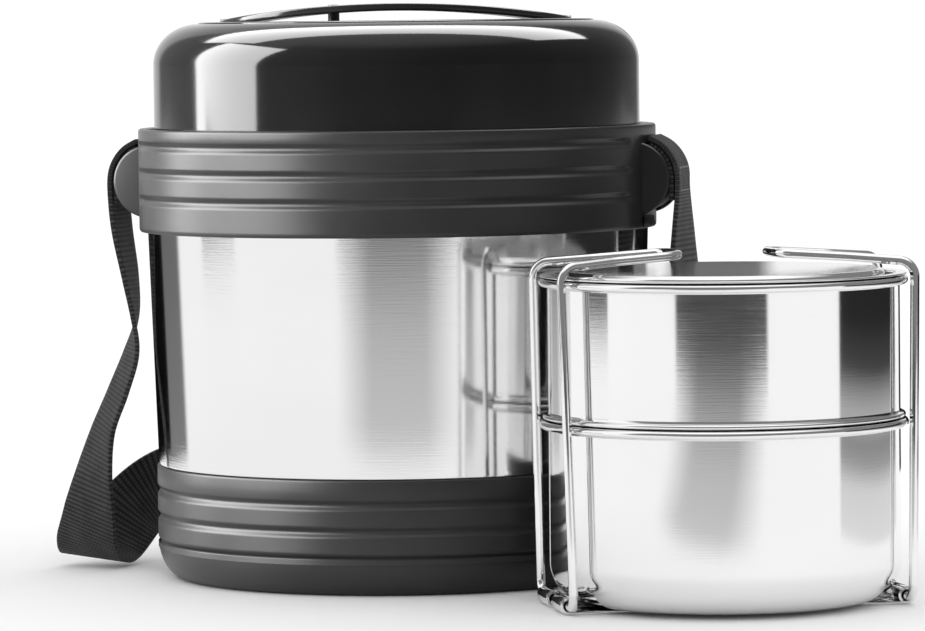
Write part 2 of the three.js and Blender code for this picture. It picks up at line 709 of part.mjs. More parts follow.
add(rack, 'base_strip', baseStrip(), polishedSteel);
add(rack, 'lower_container', lowerContainer(), brushedSteel);
add(rack, 'upper_container', upperContainer(), brushedSteel);
add(rack, 'container_lid', containerLid(), polishedSteel);
add(rack, 'wire_clip_left', wireClip(-1), polishedSteel);
add(rack, 'wire_clip_right', wireClip(1), polishedSteel);

// ---------------------------------------------------------------- strap

// The strap's route, right anchor to left anchor. Each row is a point of the middle line and the
// direction of the webbing's width there. It is wound over the right drum, hangs, turns as it comes
// down, lies on the table on its edge behind the casing, makes a loop at the left and climbs to the
// left drum.
const STRAP_ROUTE = [
  [[81.38, -15.82, 138.92], [0.191, 0.982, 0]],
  [[85.44, -16.61, 136.53], [0.191, 0.982, 0]],
  [[88.45, -17.19, 132.88], [0.191, 0.982, 0]],
  [[90.05, -17.50, 128.39], [0.191, 0.982, 0]],
  [[90.26, -17.55, 122.00], [0.191, 0.982, 0]],
  [[90.30, -17.60, 111.00], [0.28, 0.96, 0]],
  [[90.40, -17.50, 95.00], [0.42, 0.907, 0]],
  [[91.00, -17.00, 76.00], [0.62, 0.785, 0]],
  [[92.00, -15.50, 57.00], [0.82, 0.572, 0]],
  [[93.00, -12.50, 39.00], [0.95, 0.312, 0]],
  [[94.00, -6.50, 21.00], [0.995, 0.10, 0]],
  [[95.50, 5.00, 7.00], [1, 0, 0]],
  [[98.00, 22.00, 2.50], [1, 0, 0.05]],
  [[102.00, 42.00, 5.50], [0.90, 0, 0.436]],
  [[105.00, 62.00, 10.50], [0.50, 0, 0.866]],
  [[104.00, 84.00, 12.40], [0.10, 0, 0.995]],
  [[97.00, 108.00, 12.40], [0, 0, 1]],
  [[81.00, 130.00, 12.40], [0, 0, 1]],
  [[57.00, 146.00, 12.40], [0, 0, 1]],
  [[29.00, 150.00, 12.40], [0, 0, 1]],
  [[4.00, 142.00, 12.40], [0, 0, 1]],
  [[-17.00, 126.00, 12.60], [0, 0, 1]],
  [[-36.00, 108.00, 14.50], [0, 0, 1]],
  [[-53.00, 90.00, 19.00], [0, 0, 1]],
  [[-67.00, 73.00, 24.00], [0.05, 0.05, 0.997]],
  [[-78.00, 58.00, 25.00], [0.0, 0.0, 1]],
  [[-88.00, 46.50, 18.00], [-0.30, 0.20, 0.93]],
  [[-96.00, 37.00, 7.50], [-0.72, 0.42, 0.55]],
  [[-100.50, 28.00, 3.50], [-0.86, 0.50, 0.10]],
  [[-102.00, 20.50, 8.50], [-0.82, 0.57, -0.05]],
  [[-101.00, 17.00, 19.00], [-0.72, 0.69, 0]],
  [[-99.00, 15.50, 33.00], [-0.50, 0.866, 0]],
  [[-96.00, 15.00, 46.00], [-0.34, 0.94, 0]],
  [[-91.00, 15.00, 58.50], [-0.30, 0.954, 0]],
  [[-86.80, 15.50, 70.50], [-0.22, 0.975, 0]],
  [[-85.60, 16.20, 82.00], [0.0, 1, 0]],
  [[-86.90, 16.80, 95.00], [0.12, 0.993, 0]],
  [[-89.30, 17.30, 110.00], [0.18, 0.984, 0]],
  [[-90.26, 17.55, 122.00], [0.191, 0.982, 0]],
  [[-90.05, 17.50, 128.39], [0.191, 0.982, 0]],
  [[-88.45, 17.19, 132.88], [0.191, 0.982, 0]],
  [[-85.44, 16.61, 136.53], [0.191, 0.982, 0]],
  [[-81.38, 15.82, 138.92], [0.191, 0.982, 0]],
];

function strapWebbing() {
  const toVector = ([x, y, z]) => new THREE.Vector3(x, y, z);
  const middle = new THREE.CatmullRomCurve3(STRAP_ROUTE.map(([point]) => toVector(point)));
  const widths = new THREE.CatmullRomCurve3(STRAP_ROUTE.map(([, width]) => toVector(width)));
  const stations = [];
  for (let i = 0; i <= STRAP_STEPS; i += 1) {
    const point = middle.getPoint(i / STRAP_STEPS);
    const along = middle.getTangent(i / STRAP_STEPS);
    const width = widths.getPoint(i / STRAP_STEPS);
    const across = width.addScaledVector(along, -width.dot(along)).normalize();
    const up = across.clone().cross(along).normalize();
    stations.push({ point, across, up });
  }
  return swept(stations, flatSection(STRAP_WIDTH, STRAP_THICK));
}

// The strap's end goes back under it round the drum and is sewn to it a little below.
function strapEnd() {
  const radius = DRUM_R + GAP + STRAP_THICK / 2;
  const outer = anchorCentreR + radius;
  const startAngle = Math.acos((collarR + 2 * GAP - anchorCentreR) / radius);
  const points = [];
  for (let i = 0; i <= 5; i += 1) {
    const angle = startAngle * (1 - i / 5);
    points.push([anchorCentreR + radius * Math.cos(angle), anchorZ + radius * Math.sin(angle)]);
  }
  points.push([outer, anchorZ - STRAP_END_HANG]);
  const across = new THREE.Vector3(0, 1, 0);
  const stations = points.map(([r, z], i) => {
    const [r0, z0] = points[Math.max(i - 1, 0)];
    const [r1, z1] = points[Math.min(i + 1, points.length - 1)];
    const along = new THREE.Vector3(r1 - r0, 0, z1 - z0).normalize();
    return { point: new THREE.Vector3(r, 0, z), across, up: across.clone().cross(along).normalize() };
  });
  return swept(stations, flatSection(STRAP_WIDTH - 1, STRAP_THICK));
}

add(carrier, 'carry_strap', strapWebbing(), webbing);
add(carrier, 'strap_end_right', strapEnd().rotateZ(RIGHT_TURN), webbing);
add(carrier, 'strap_end_left', strapEnd().rotateZ(LEFT_TURN), webbing);

export default carrier;
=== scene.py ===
# %% [markdown]
# # A round insulated tiffin carrier and its rack of steel containers
# The carrier is a steel cylinder between two ribbed plastic mouldings, with a glossy plastic lid that
# has a folding handle. A webbing strap hangs between two blocks on the collar. Beside it stands the
# rack that goes inside: two steel containers, their lid and the two wire clips that hold them.
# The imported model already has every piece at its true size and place, with coarse rounds. Each cell
# here models one piece again, finely, in the same place, and lets it ride on the same body.

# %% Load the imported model
import math

import bpy
from mathutils import Matrix, Vector


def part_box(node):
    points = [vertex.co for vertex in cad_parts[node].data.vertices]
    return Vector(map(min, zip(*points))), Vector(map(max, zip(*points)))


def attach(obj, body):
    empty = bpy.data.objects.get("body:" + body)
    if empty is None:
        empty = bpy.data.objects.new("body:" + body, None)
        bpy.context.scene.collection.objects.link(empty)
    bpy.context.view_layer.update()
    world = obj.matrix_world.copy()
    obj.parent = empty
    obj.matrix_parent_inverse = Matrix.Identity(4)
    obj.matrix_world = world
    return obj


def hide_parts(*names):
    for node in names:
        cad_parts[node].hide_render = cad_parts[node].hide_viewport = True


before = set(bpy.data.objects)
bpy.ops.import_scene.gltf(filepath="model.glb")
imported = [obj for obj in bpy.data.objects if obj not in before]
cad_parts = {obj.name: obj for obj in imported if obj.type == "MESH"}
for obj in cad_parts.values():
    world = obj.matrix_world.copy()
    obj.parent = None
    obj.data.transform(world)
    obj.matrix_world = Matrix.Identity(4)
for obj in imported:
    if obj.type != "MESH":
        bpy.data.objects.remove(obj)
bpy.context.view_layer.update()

MM = 0.001

# %% [markdown]
# ## The camera
# A long lens from nearly two metres away keeps the round rims as thin ellipses. The camera could be
# aimed with a Track To constraint, but its tilt and its slight roll are known, so its three axes are
# written straight into its matrix.

# %% Camera
CAMERA_PLACE = Vector((0.0202247, -1.677894, 0.176561))
CAMERA_TILT = 0.0562818     # radians, looking down
CAMERA_ROLL = 0.0116136     # radians, leaning to one side
CAMERA_LENS = 204.5         # millimetres
CAMERA_REACH = 60           # metres

bpy.ops.object.select_all(action="DESELECT")
bpy.ops.object.camera_add(location=CAMERA_PLACE)
camera = bpy.context.object
camera.name = "studio_camera"
ahead = Vector((0, math.cos(CAMERA_TILT), -math.sin(CAMERA_TILT)))
level_up = Vector((0, math.sin(CAMERA_TILT), math.cos(CAMERA_TILT)))
right = math.cos(CAMERA_ROLL) * Vector((1, 0, 0)) - math.sin(CAMERA_ROLL) * level_up
upward = math.sin(CAMERA_ROLL) * Vector((1, 0, 0)) + math.cos(CAMERA_ROLL) * level_up
axes = Matrix((right, upward, -ahead)).transposed()
camera.matrix_world = Matrix.Translation(CAMERA_PLACE) @ axes.to_4x4()
camera.data.lens = CAMERA_LENS
camera.data.clip_end = CAMERA_REACH
bpy.context.scene.camera = camera
print("camera at", tuple(round(v, 3) for v in camera.location), "lens", camera.data.lens, "mm")

# %% [markdown]
# ## Helpers for finishes
# A finish is a Principled shader with a few texture nodes in front of it. Writing each node by hand
# takes many lines, so one helper adds a node and fills its inputs: a value is set, a socket is linked.

# %% Finish helpers
def new_finish(name, **sockets):
    """A new Principled material, with some of its inputs set."""
    made = bpy.data.materials.new(name)
    made.use_nodes = True
    shader = made.node_tree.nodes["Principled BSDF"]
    for socket, value in sockets.items():
        shader.inputs[socket.replace("_", " ")].default_value = value
    return made


def node(finish, kind, inputs=None, **settings):
    """Adds a node to a material or a world and fills its inputs."""
    made = finish.node_tree.nodes.new(kind)
    for name, value in settings.items():
        setattr(made, name, value)
    for socket, value in (inputs or {}).items():
        if isinstance(value, bpy.types.NodeSocket):
            finish.node_tree.links.new(value, made.inputs[socket])
        else:
            made.inputs[socket].default_value = value
    return made


def drive(finish, socket, value):
    """Links a value to one of the Principled shader's inputs."""
    shader = finish.node_tree.nodes["Principled BSDF"]
    finish.node_tree.links.new(value, shader.inputs[socket])


def math_node(finish, operation, first, second=0.0):
    return node(finish, "ShaderNodeMath", {0: first, 1: second}, operation=operation).outputs[0]


def object_place(finish, centre=(0, 0, 0), scale=(1, 1, 1)):
    """Object coordinates, moved so that the piece's axis is at zero, then stretched."""
    source = node(finish, "ShaderNodeTexCoord").outputs["Object"]
    moved = node(finish, "ShaderNodeMapping", {
        "Vector": source, "Location": [-c * s for c, s in zip(centre, scale)], "Scale": scale,
    })
    return moved.outputs["Vector"]


def noise(finish, place, scale, detail=3.0, roughness=0.55):
    return node(finish, "ShaderNodeTexNoise", {
        "Vector": place, "Scale": scale, "Detail": detail, "Roughness": roughness,
    }).outputs["Fac"]


def between(finish, value, low, high, from_low=0.3, from_high=0.7):
    """Maps a value's range onto low to high."""
    return node(finish, "ShaderNodeMapRange", {
        "Value": value, "From Min": from_low, "From Max": from_high, "To Min": low, "To Max": high,
    }).outputs["Result"]


def relief(finish, height, distance):
    """A bump that stands out by the distance, in metres, where the height is 1."""
    inputs = {"Height": height, "Distance": distance, "Strength": 1.0}
    return node(finish, "ShaderNodeBump", inputs).outputs["Normal"]


def ramp_colour(finish, value, stops):
    """A colour that follows a value through stops, each a place from 0 to 1 and a colour."""
    made = node(finish, "ShaderNodeValToRGB", {"Fac": value})
    elements = made.color_ramp.elements
    while len(elements) < len(stops):
        elements.new(0.5)
    for element, (at, colour) in zip(elements, stops):
        element.position = at
        element.color = (*colour, 1)
    return made.outputs["Color"]


def mixed_colour(finish, value, dark, light, low=0.3, high=0.7):
    return ramp_colour(finish, value, [(low, dark), (high, light)])


def grey(value):
    return (value, value, value)


print("helpers for finishes are ready")

# %% [markdown]
# ## The strap's route
# A strap of woven webbing keeps its length and its width, and bends only the flat way or twists.
# Cloth simulation would lose its crisp edges, so the strap is laid along a route: points down its
# middle line, and at each the direction of its width. It leaves the right-hand block, hangs, turns
# as it comes down, lies on its edge behind the carrier, makes a loop at the left and climbs again.

# %% Strap route
STRAP_WIDTH = 23 * MM
STRAP_THICK = 1.5 * MM
ROUTE = [
    ((81.38, -15.82, 138.92), (0.191, 0.982, 0)), ((85.44, -16.61, 136.53), (0.191, 0.982, 0)),
    ((88.45, -17.19, 132.88), (0.191, 0.982, 0)), ((90.05, -17.50, 128.39), (0.191, 0.982, 0)),
    ((90.26, -17.55, 122.00), (0.191, 0.982, 0)), ((90.30, -17.60, 111.00), (0.28, 0.96, 0)),
    ((90.40, -17.50, 95.00), (0.42, 0.907, 0)), ((91.00, -17.00, 76.00), (0.62, 0.785, 0)),
    ((92.00, -15.50, 57.00), (0.82, 0.572, 0)), ((93.00, -12.50, 39.00), (0.95, 0.312, 0)),
    ((94.00, -6.50, 21.00), (0.995, 0.10, 0)), ((95.50, 5.00, 7.00), (1, 0, 0)),
    ((98.00, 22.00, 2.50), (1, 0, 0.05)), ((102.00, 42.00, 5.50), (0.90, 0, 0.436)),
    ((105.00, 62.00, 10.50), (0.50, 0, 0.866)), ((104.00, 84.00, 12.40), (0.10, 0, 0.995)),
    ((97.00, 108.00, 12.40), (0, 0, 1)), ((81.00, 130.00, 12.40), (0, 0, 1)),
    ((57.00, 146.00, 12.40), (0, 0, 1)), ((29.00, 150.00, 12.40), (0, 0, 1)),
    ((4.00, 142.00, 12.40), (0, 0, 1)), ((-17.00, 126.00, 12.60), (0, 0, 1)),
    ((-36.00, 108.00, 14.50), (0, 0, 1)), ((-53.00, 90.00, 19.00), (0, 0, 1)),
    ((-67.00, 73.00, 24.00), (0.05, 0.05, 0.997)), ((-78.00, 58.00, 25.00), (0, 0, 1)),
    ((-88.00, 46.50, 18.00), (-0.30, 0.20, 0.93)), ((-96.00, 37.00, 7.50), (-0.72, 0.42, 0.55)),
    ((-100.50, 28.00, 3.50), (-0.86, 0.50, 0.10)), ((-102.00, 20.50, 8.50), (-0.82, 0.57, -0.05)),
    ((-101.00, 17.00, 19.00), (-0.72, 0.69, 0)), ((-99.00, 15.50, 33.00), (-0.50, 0.866, 0)),
    ((-96.00, 15.00, 46.00), (-0.34, 0.94, 0)), ((-91.00, 15.00, 58.50), (-0.30, 0.954, 0)),
    ((-86.80, 15.50, 70.50), (-0.22, 0.975, 0)), ((-85.60, 16.20, 82.00), (0, 1, 0)),
    ((-86.90, 16.80, 95.00), (0.12, 0.993, 0)), ((-89.30, 17.30, 110.00), (0.18, 0.984, 0)),
    ((-90.26, 17.55, 122.00), (0.191, 0.982, 0)), ((-90.05, 17.50, 128.39), (0.191, 0.982, 0)),
    ((-88.45, 17.19, 132.88), (0.191, 0.982, 0)), ((-85.44, 16.61, 136.53), (0.191, 0.982, 0)),
    ((-81.38, 15.82, 138.92), (0.191, 0.982, 0)),
]


def smooth_point(points, t):
    """A point on a smooth curve through all the points, with t from 0 to 1."""
    span = t * (len(points) - 1)
    i = min(int(span), len(points) - 2)
    u = span - i
    a, b, c, d = (points[min(max(i + k, 0), len(points) - 1)] for k in (-1, 0, 1, 2))
    return 0.5 * (2 * b + (c - a) * u + (2 * a - 5 * b + 4 * c - d) * u * u
                  + (3 * b - a - 3 * c + d) * u ** 3)


def route_stations(route, count):
    """Evenly numbered stations along a route: the point, the width's direction and the flat's normal."""
    points = [Vector(p) * MM for p, _ in route]
    widths = [Vector(w) for _, w in route]
    stations = []
    for k in range(count + 1):
        t = k / count
        ahead = smooth_point(points, min(t + 0.001, 1)) - smooth_point(points, max(t - 0.001, 0))
        ahead.normalize()
        width = smooth_point(widths, t)
        width = (width - ahead * width.dot(ahead)).normalized()
        stations.append((smooth_point(points, t), width, width.cross(ahead).normalized()))
    return stations


STRAP_STEPS = 560
strap_stations = route_stations(ROUTE, STRAP_STEPS)
strap_line = [point for point, _, _ in strap_stations]
strap_length = sum((b - a).length for a, b in zip(strap_line, strap_line[1:]))
print("strap length along its middle line:", round(strap_length, 4), "m")

# %% [markdown]
# ## Helpers for modelling
# Round pieces are lathe work: an outline is drawn by extruding one vertex from point to point and is
# then spun round an upright axis. A bought ready-made cylinder would need every step and bead cut
# into it. Straps and strips are grids whose rows are set out along stations. Every finished piece
# ends with its object at the origin and its place in its mesh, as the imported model's pieces have.

# %% Modelling helpers
ROUND_STEPS = 180


def arc(centre_r, centre_z, half_r, half_z, start, end, steps):
    """Points (radius, height) on part of an ellipse, from one angle to another in degrees."""
    angles = [math.radians(start + (end - start) * i / steps) for i in range(steps + 1)]
    return [(centre_r + half_r * math.cos(a), centre_z + half_z * math.sin(a)) for a in angles]


def eased(corners, steps=5):
    """An outline whose corners (radius, height, rounding) are rounded off."""
    points = []
    for i, (r, z, rounding) in enumerate(corners):
        if rounding == 0 or i in (0, len(corners) - 1):
            points.append((r, z))
            continue
        corner = Vector((r, z))
        back = (Vector(corners[i - 1][:2]) - corner)
        on = (Vector(corners[i + 1][:2]) - corner)
        reach = min(rounding, 0.49 * back.length, 0.49 * on.length)
        start, end = corner + back.normalized() * reach, corner + on.normalized() * reach
        for k in range(steps + 1):
            t = k / steps
            points.append(tuple((1 - t) ** 2 * start + 2 * t * (1 - t) * corner + t * t * end))
    return points


def hold(piece):
    """Makes the piece the active one and the only one selected."""
    bpy.ops.object.select_all(action="DESELECT")
    piece.select_set(True)
    bpy.context.view_layer.objects.active = piece


def begin(name):
    """Takes hold of the primitive that was just added, in edit mode with all of it selected."""
    piece = bpy.context.object
    piece.name = name
    bpy.ops.object.mode_set(mode="EDIT")
    bpy.ops.mesh.select_all(action="SELECT")
    return piece


def tidy_edit():
    """Merges what the tools left double, turns all faces outwards and leaves edit mode."""
    bpy.ops.mesh.select_all(action="SELECT")
    bpy.ops.mesh.remove_doubles(threshold=1e-6)
    bpy.ops.mesh.delete_loose()
    bpy.ops.mesh.normals_make_consistent(inside=False)
    bpy.ops.object.mode_set(mode="OBJECT")


def braced(points, near=0.35, long=3.0):
    """Adds a point close to both ends of each long run, so that smooth shading keeps its walls flat."""
    made = [points[0]]
    for start, end in zip(points, points[1:]):
        length = math.dist(start, end)
        if length > long:
            for t in (near / length, 1 - near / length):
                made.append(tuple(a + (b - a) * t for a, b in zip(start, end)))
        made.append(end)
    return made


def drawn_line(name, points, sideways=0):
    """Extrudes one vertex from point to point (x, z) in millimetres, and stays in edit mode."""
    bpy.ops.object.select_all(action="DESELECT")
    bpy.ops.mesh.primitive_plane_add(size=MM)
    piece = begin(name)
    bpy.ops.mesh.merge(type="CENTER")
    bpy.ops.transform.translate(value=(points[0][0] * MM, sideways * MM, points[0][1] * MM))
    for (x0, z0), (x1, z1) in zip(points, points[1:]):
        step = ((x1 - x0) * MM, 0, (z1 - z0) * MM)
        bpy.ops.mesh.extrude_region_move(TRANSFORM_OT_translate={"value": step})
    bpy.ops.mesh.select_all(action="SELECT")
    return piece


def turned(name, outline, centre=(0, 0), steps=ROUND_STEPS, closed=False, angle=360):
    """Draws an outline of (radius, height) points in millimetres and spins it."""
    points = braced(list(outline) + ([outline[0]] if closed else []))
    piece = drawn_line(name, points)
    bpy.ops.mesh.remove_doubles(threshold=1e-7)
    bpy.ops.mesh.spin(steps=steps, angle=math.radians(angle), center=(0, 0, 0), axis=(0, 0, 1))
    bpy.ops.mesh.select_all(action="SELECT")
    bpy.ops.transform.translate(value=(centre[0] * MM, centre[1] * MM, 0))
    tidy_edit()
    return piece


def apply_modifier(piece, kind, **settings):
    modifier = piece.modifiers.new(kind.title(), kind)
    for name, value in settings.items():
        setattr(modifier, name, value)
    hold(piece)
    bpy.ops.object.modifier_apply(modifier=modifier.name)


def soften(piece, width, segments, sharpest):
    """Bevels the edges that turn by more than so many degrees."""
    apply_modifier(piece, "BEVEL", width=width * MM, segments=segments, limit_method="ANGLE",
                   angle_limit=math.radians(sharpest))


def carve(piece, *tools):
    """Cuts each tool out of the piece, then throws the tool away."""
    for tool in tools:
        apply_modifier(piece, "BOOLEAN", operation="DIFFERENCE", solver="EXACT", object=tool)
        bpy.data.objects.remove(tool)


def join(piece, *others):
    hold(piece)
    for other in others:
        other.select_set(True)
    bpy.ops.object.join()
    return piece


def settle(piece):
    """Puts the object at the origin with its place in its mesh."""
    hold(piece)
    bpy.ops.object.transform_apply(location=True, rotation=True, scale=True)


def copied(piece, name, place=(0, 0, 0), turn=0.0):
    """A copy with a mesh of its own, turned round Z and then moved to its place in metres."""
    hold(piece)
    bpy.ops.object.duplicate(linked=False)
    made = bpy.context.object
    made.name = name
    made.location = place
    made.rotation_euler.z = turn
    settle(made)
    return made


def ring_sector(name, low, high, start, sweep, steps):
    """Part of a ring between two corners (radius, height), from one heading on, in degrees."""
    (r0, z0), (r1, z1) = low, high
    piece = turned(name, [(r0, z0), (r1, z0), (r1, z1), (r0, z1)], closed=True, steps=steps, angle=sweep)
    bpy.ops.object.mode_set(mode="EDIT")
    bpy.ops.mesh.select_all(action="SELECT")
    bpy.ops.mesh.fill_holes(sides=0)
    bpy.ops.mesh.normals_make_consistent(inside=False)
    bpy.ops.object.mode_set(mode="OBJECT")
    piece.rotation_euler.z = math.radians(start)
    settle(piece)
    return piece


def soft_box(name, place, size, rounding):
    """A box with rounded edges, its middle at a place in millimetres."""
    bpy.ops.object.select_all(action="DESELECT")
    bpy.ops.mesh.primitive_cube_add(size=MM, location=Vector(place) * MM)
    piece = begin(name)
    bpy.ops.transform.resize(value=size)
    bpy.ops.object.mode_set(mode="OBJECT")
    settle(piece)
    apply_modifier(piece, "BEVEL", width=rounding * MM, segments=3)
    return piece


def round_bar(radius, length, place, rotation=(0, 0, 0), vertices=96):
    """A cylinder in millimetres, upright unless it is rotated, its middle at a place."""
    bpy.ops.object.select_all(action="DESELECT")
    bpy.ops.mesh.primitive_cylinder_add(vertices=vertices, radius=radius * MM, depth=length * MM,
                                        rotation=rotation, location=Vector(place) * MM)
    made = bpy.context.object
    settle(made)
    return made


def complete(piece, body, nodes, finish, smooth=32):
    """Shades a piece, gives it its finish and hangs it on its body, in place of its CAD nodes."""
    settle(piece)
    bpy.ops.object.shade_smooth_by_angle(angle=math.radians(smooth))
    piece.data.materials.clear()
    piece.data.materials.append(finish)
    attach(piece, body)
    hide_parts(*nodes)
    gaps = []
    for name in nodes:
        low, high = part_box(name)
        corners = [Vector(c) for c in piece.bound_box]
        gaps += [max(v[a] for v in corners) - high[a] for a in range(3)]
        gaps += [low[a] - min(v[a] for v in corners) for a in range(3)]
    proud = max(gaps) / MM if gaps else 0
    faces = len(piece.data.polygons)
    print(f"{piece.name}: {faces} faces, at most {proud:.2f} mm outside its CAD node's box")
    return piece


def laid_strip(name, stations, half_widths, thickness, columns=8, edge=0.25 * MM):
    """A flat strip along stations: a grid is set out row by row, thickened and its edges softened."""
    rows = len(stations)
    bpy.ops.object.select_all(action="DESELECT")
    bpy.ops.mesh.primitive_grid_add(x_subdivisions=columns, y_subdivisions=rows - 1, size=1)
    piece = bpy.context.object
    piece.name = name
    for vertex in piece.data.vertices:
        row = round((vertex.co.y + 0.5) * (rows - 1))
        point, width, _ = stations[row]
        vertex.co = point + width * (2 * vertex.co.x * half_widths[row])
    apply_modifier(piece, "SOLIDIFY", thickness=thickness, offset=0, use_even_offset=True)
    if edge:
        apply_modifier(piece, "BEVEL", width=edge, segments=2, limit_method="ANGLE",
                       angle_limit=math.radians(50), loop_slide=False)
    return piece


print("helpers for modelling are ready, rounds have", ROUND_STEPS, "steps")

# %% [markdown]
# ## Brushed and spun steel
# The body and the containers were polished on a lathe, so fine scratches run round them. They could be
# an image of scratches, but a noise that is squeezed in height and stretched round the piece gives
# the same lines at any zoom. The lines tilt the surface up and down a little, which smears every
# reflection upright, as on the real sheet.

# %% Steel finishes
RACK_CENTRE = (98.4715, -102.8646)
RACK_PLACE = tuple(c * MM for c in RACK_CENTRE) + (0,)


def steel(name, centre, grain, depth, colour, roughness, spread):
    """Steel polished on a lathe: grain is the number of scratches in a metre of height, nearly."""
    made = new_finish(name, Metallic=1.0)
    lines = noise(made, object_place(made, centre, (55, 55, grain)), 1.0, 4, 0.65)
    clouds = noise(made, object_place(made, centre, (9, 9, 26)), 1.0)
    drive(made, "Roughness", between(made, lines, roughness - spread, roughness + spread))
    drive(made, "Base Color", mixed_colour(made, clouds, [c * 0.96 for c in colour], colour))
    drive(made, "Normal", relief(made, lines, depth))
    return made


brushed_body_steel = steel("brushed_body_steel", (0, 0, 0), 2600, 0.000007, (0.84, 0.84, 0.84), 0.09, 0.02)
spun_container_steel = steel("spun_container_steel", RACK_PLACE, 2400, 0.000004, (0.88, 0.88, 0.88),
                             0.08, 0.02)
liner_steel = steel("liner_steel", (0, 0, 0), 1800, 0.000008, (0.74, 0.74, 0.75), 0.24, 0.04)


def lathe_steel(name, centre, grain, depth, colour, roughness):
    """Steel faced off on a lathe: the lines are rings round the axis."""
    made = new_finish(name, Metallic=1.0, Base_Color=(*colour, 1))
    place = node(made, "ShaderNodeSeparateXYZ", {"Vector": object_place(made, centre)})
    across = math_node(made, "MULTIPLY", place.outputs["X"], place.outputs["X"])
    along = math_node(made, "MULTIPLY", place.outputs["Y"], place.outputs["Y"])
    radius = math_node(made, "SQRT", math_node(made, "ADD", across, along))
    ring = math_node(made, "MULTIPLY", radius, grain)
    height = math_node(made, "MULTIPLY", place.outputs["Z"], grain)
    spot = node(made, "ShaderNodeCombineXYZ", {"X": ring, "Y": height}).outputs["Vector"]
    lines = noise(made, spot, 1.0, 3, 0.6)
    drive(made, "Roughness", between(made, lines, roughness * 0.8, roughness * 1.25))
    drive(made, "Normal", relief(made, lines, depth))
    return made


faced_lid_steel = lathe_steel("faced_lid_steel", RACK_PLACE, 1500, 0.000005, (0.84, 0.84, 0.84), 0.12)
lid_plate_steel = lathe_steel("lid_plate_steel", (0, 0, 0), 1200, 0.000006, (0.78, 0.78, 0.79), 0.2)

bright_wire = new_finish("bright_wire", Metallic=1.0, Base_Color=(0.86, 0.86, 0.86, 1))
drawn = noise(bright_wire, object_place(bright_wire, scale=(700, 700, 60)), 1.0, 2)
drive(bright_wire, "Roughness", between(bright_wire, drawn, 0.05, 0.12))
drive(bright_wire, "Normal", relief(bright_wire, drawn, 0.000012))

rolled_strip_steel = new_finish("rolled_strip_steel", Metallic=1.0, Base_Color=(0.82, 0.82, 0.82, 1))
rolled = noise(rolled_strip_steel, object_place(rolled_strip_steel, scale=(60, 900, 900)), 1.0, 3)
drive(rolled_strip_steel, "Roughness", between(rolled_strip_steel, rolled, 0.08, 0.18))
drive(rolled_strip_steel, "Normal", relief(rolled_strip_steel, rolled, 0.00001))
print("steel finishes are ready")

# %% [markdown]
# ## Plastics, seal and foam
# The mouldings are satin plastic with a fine spark-eroded texture, and the lid is a polished one. A
# flat colour would look like a toy, so small noises change the texture's height, and broad ones the
# roughness, as handling does.

# %% Plastic finishes
def moulded(name, colour, light, roughness, spread, bump, shine=0.5):
    """Plastic with a fine texture, whose colour and roughness change a little from place to place."""
    made = new_finish(name, Specular_IOR_Level=shine)
    place = object_place(made)
    broad = noise(made, place, 24, 3)
    fine = noise(made, place, 2600, 2)
    drive(made, "Base Color", mixed_colour(made, broad, colour, light))
    drive(made, "Roughness", between(made, broad, roughness - spread, roughness + spread))
    drive(made, "Normal", relief(made, fine, bump))
    return made


ribbed_grey_plastic = moulded("ribbed_grey_plastic", (0.010, 0.010, 0.0105), (0.015, 0.015, 0.0155),
                              0.36, 0.03, 0.00002, 0.34)
anchor_plastic = moulded("anchor_plastic", (0.007, 0.007, 0.0072), (0.010, 0.010, 0.0102),
                         0.34, 0.03, 0.00002, 0.42)
gloss_lid_plastic = moulded("gloss_lid_plastic", (0.005, 0.005, 0.0052), (0.007, 0.007, 0.0072),
                            0.09, 0.015, 0.0000015, 0.22)
handle_plastic = moulded("handle_plastic", (0.010, 0.010, 0.0103), (0.014, 0.014, 0.0143),
                         0.13, 0.02, 0.000003, 0.25)
seal_silicone = moulded("seal_silicone", (0.62, 0.62, 0.60), (0.68, 0.68, 0.66), 0.5, 0.04, 0.00001)
insulating_foam = moulded("insulating_foam", (0.70, 0.62, 0.42), (0.78, 0.70, 0.50), 0.9, 0.03, 0.0004)
print("plastic finishes are ready")

# %% [markdown]
# ## Woven webbing
# Narrow webbing is woven flat: fine warp threads run along it and weft threads cross it, over two and
# under two, so short ribs step sideways from row to row. Real threads would be thousands of tubes. Two
# waves on the strap's own UV map, shifted by half a rib on every second row, give each thread a hump,
# which is raised by a bump and also sets the colour, darker in the gaps and lighter on the crests: painted
# shade.

# %% Webbing finish
RIB_PITCH = 1.7 * MM
THREAD_PITCH = 1.15 * MM


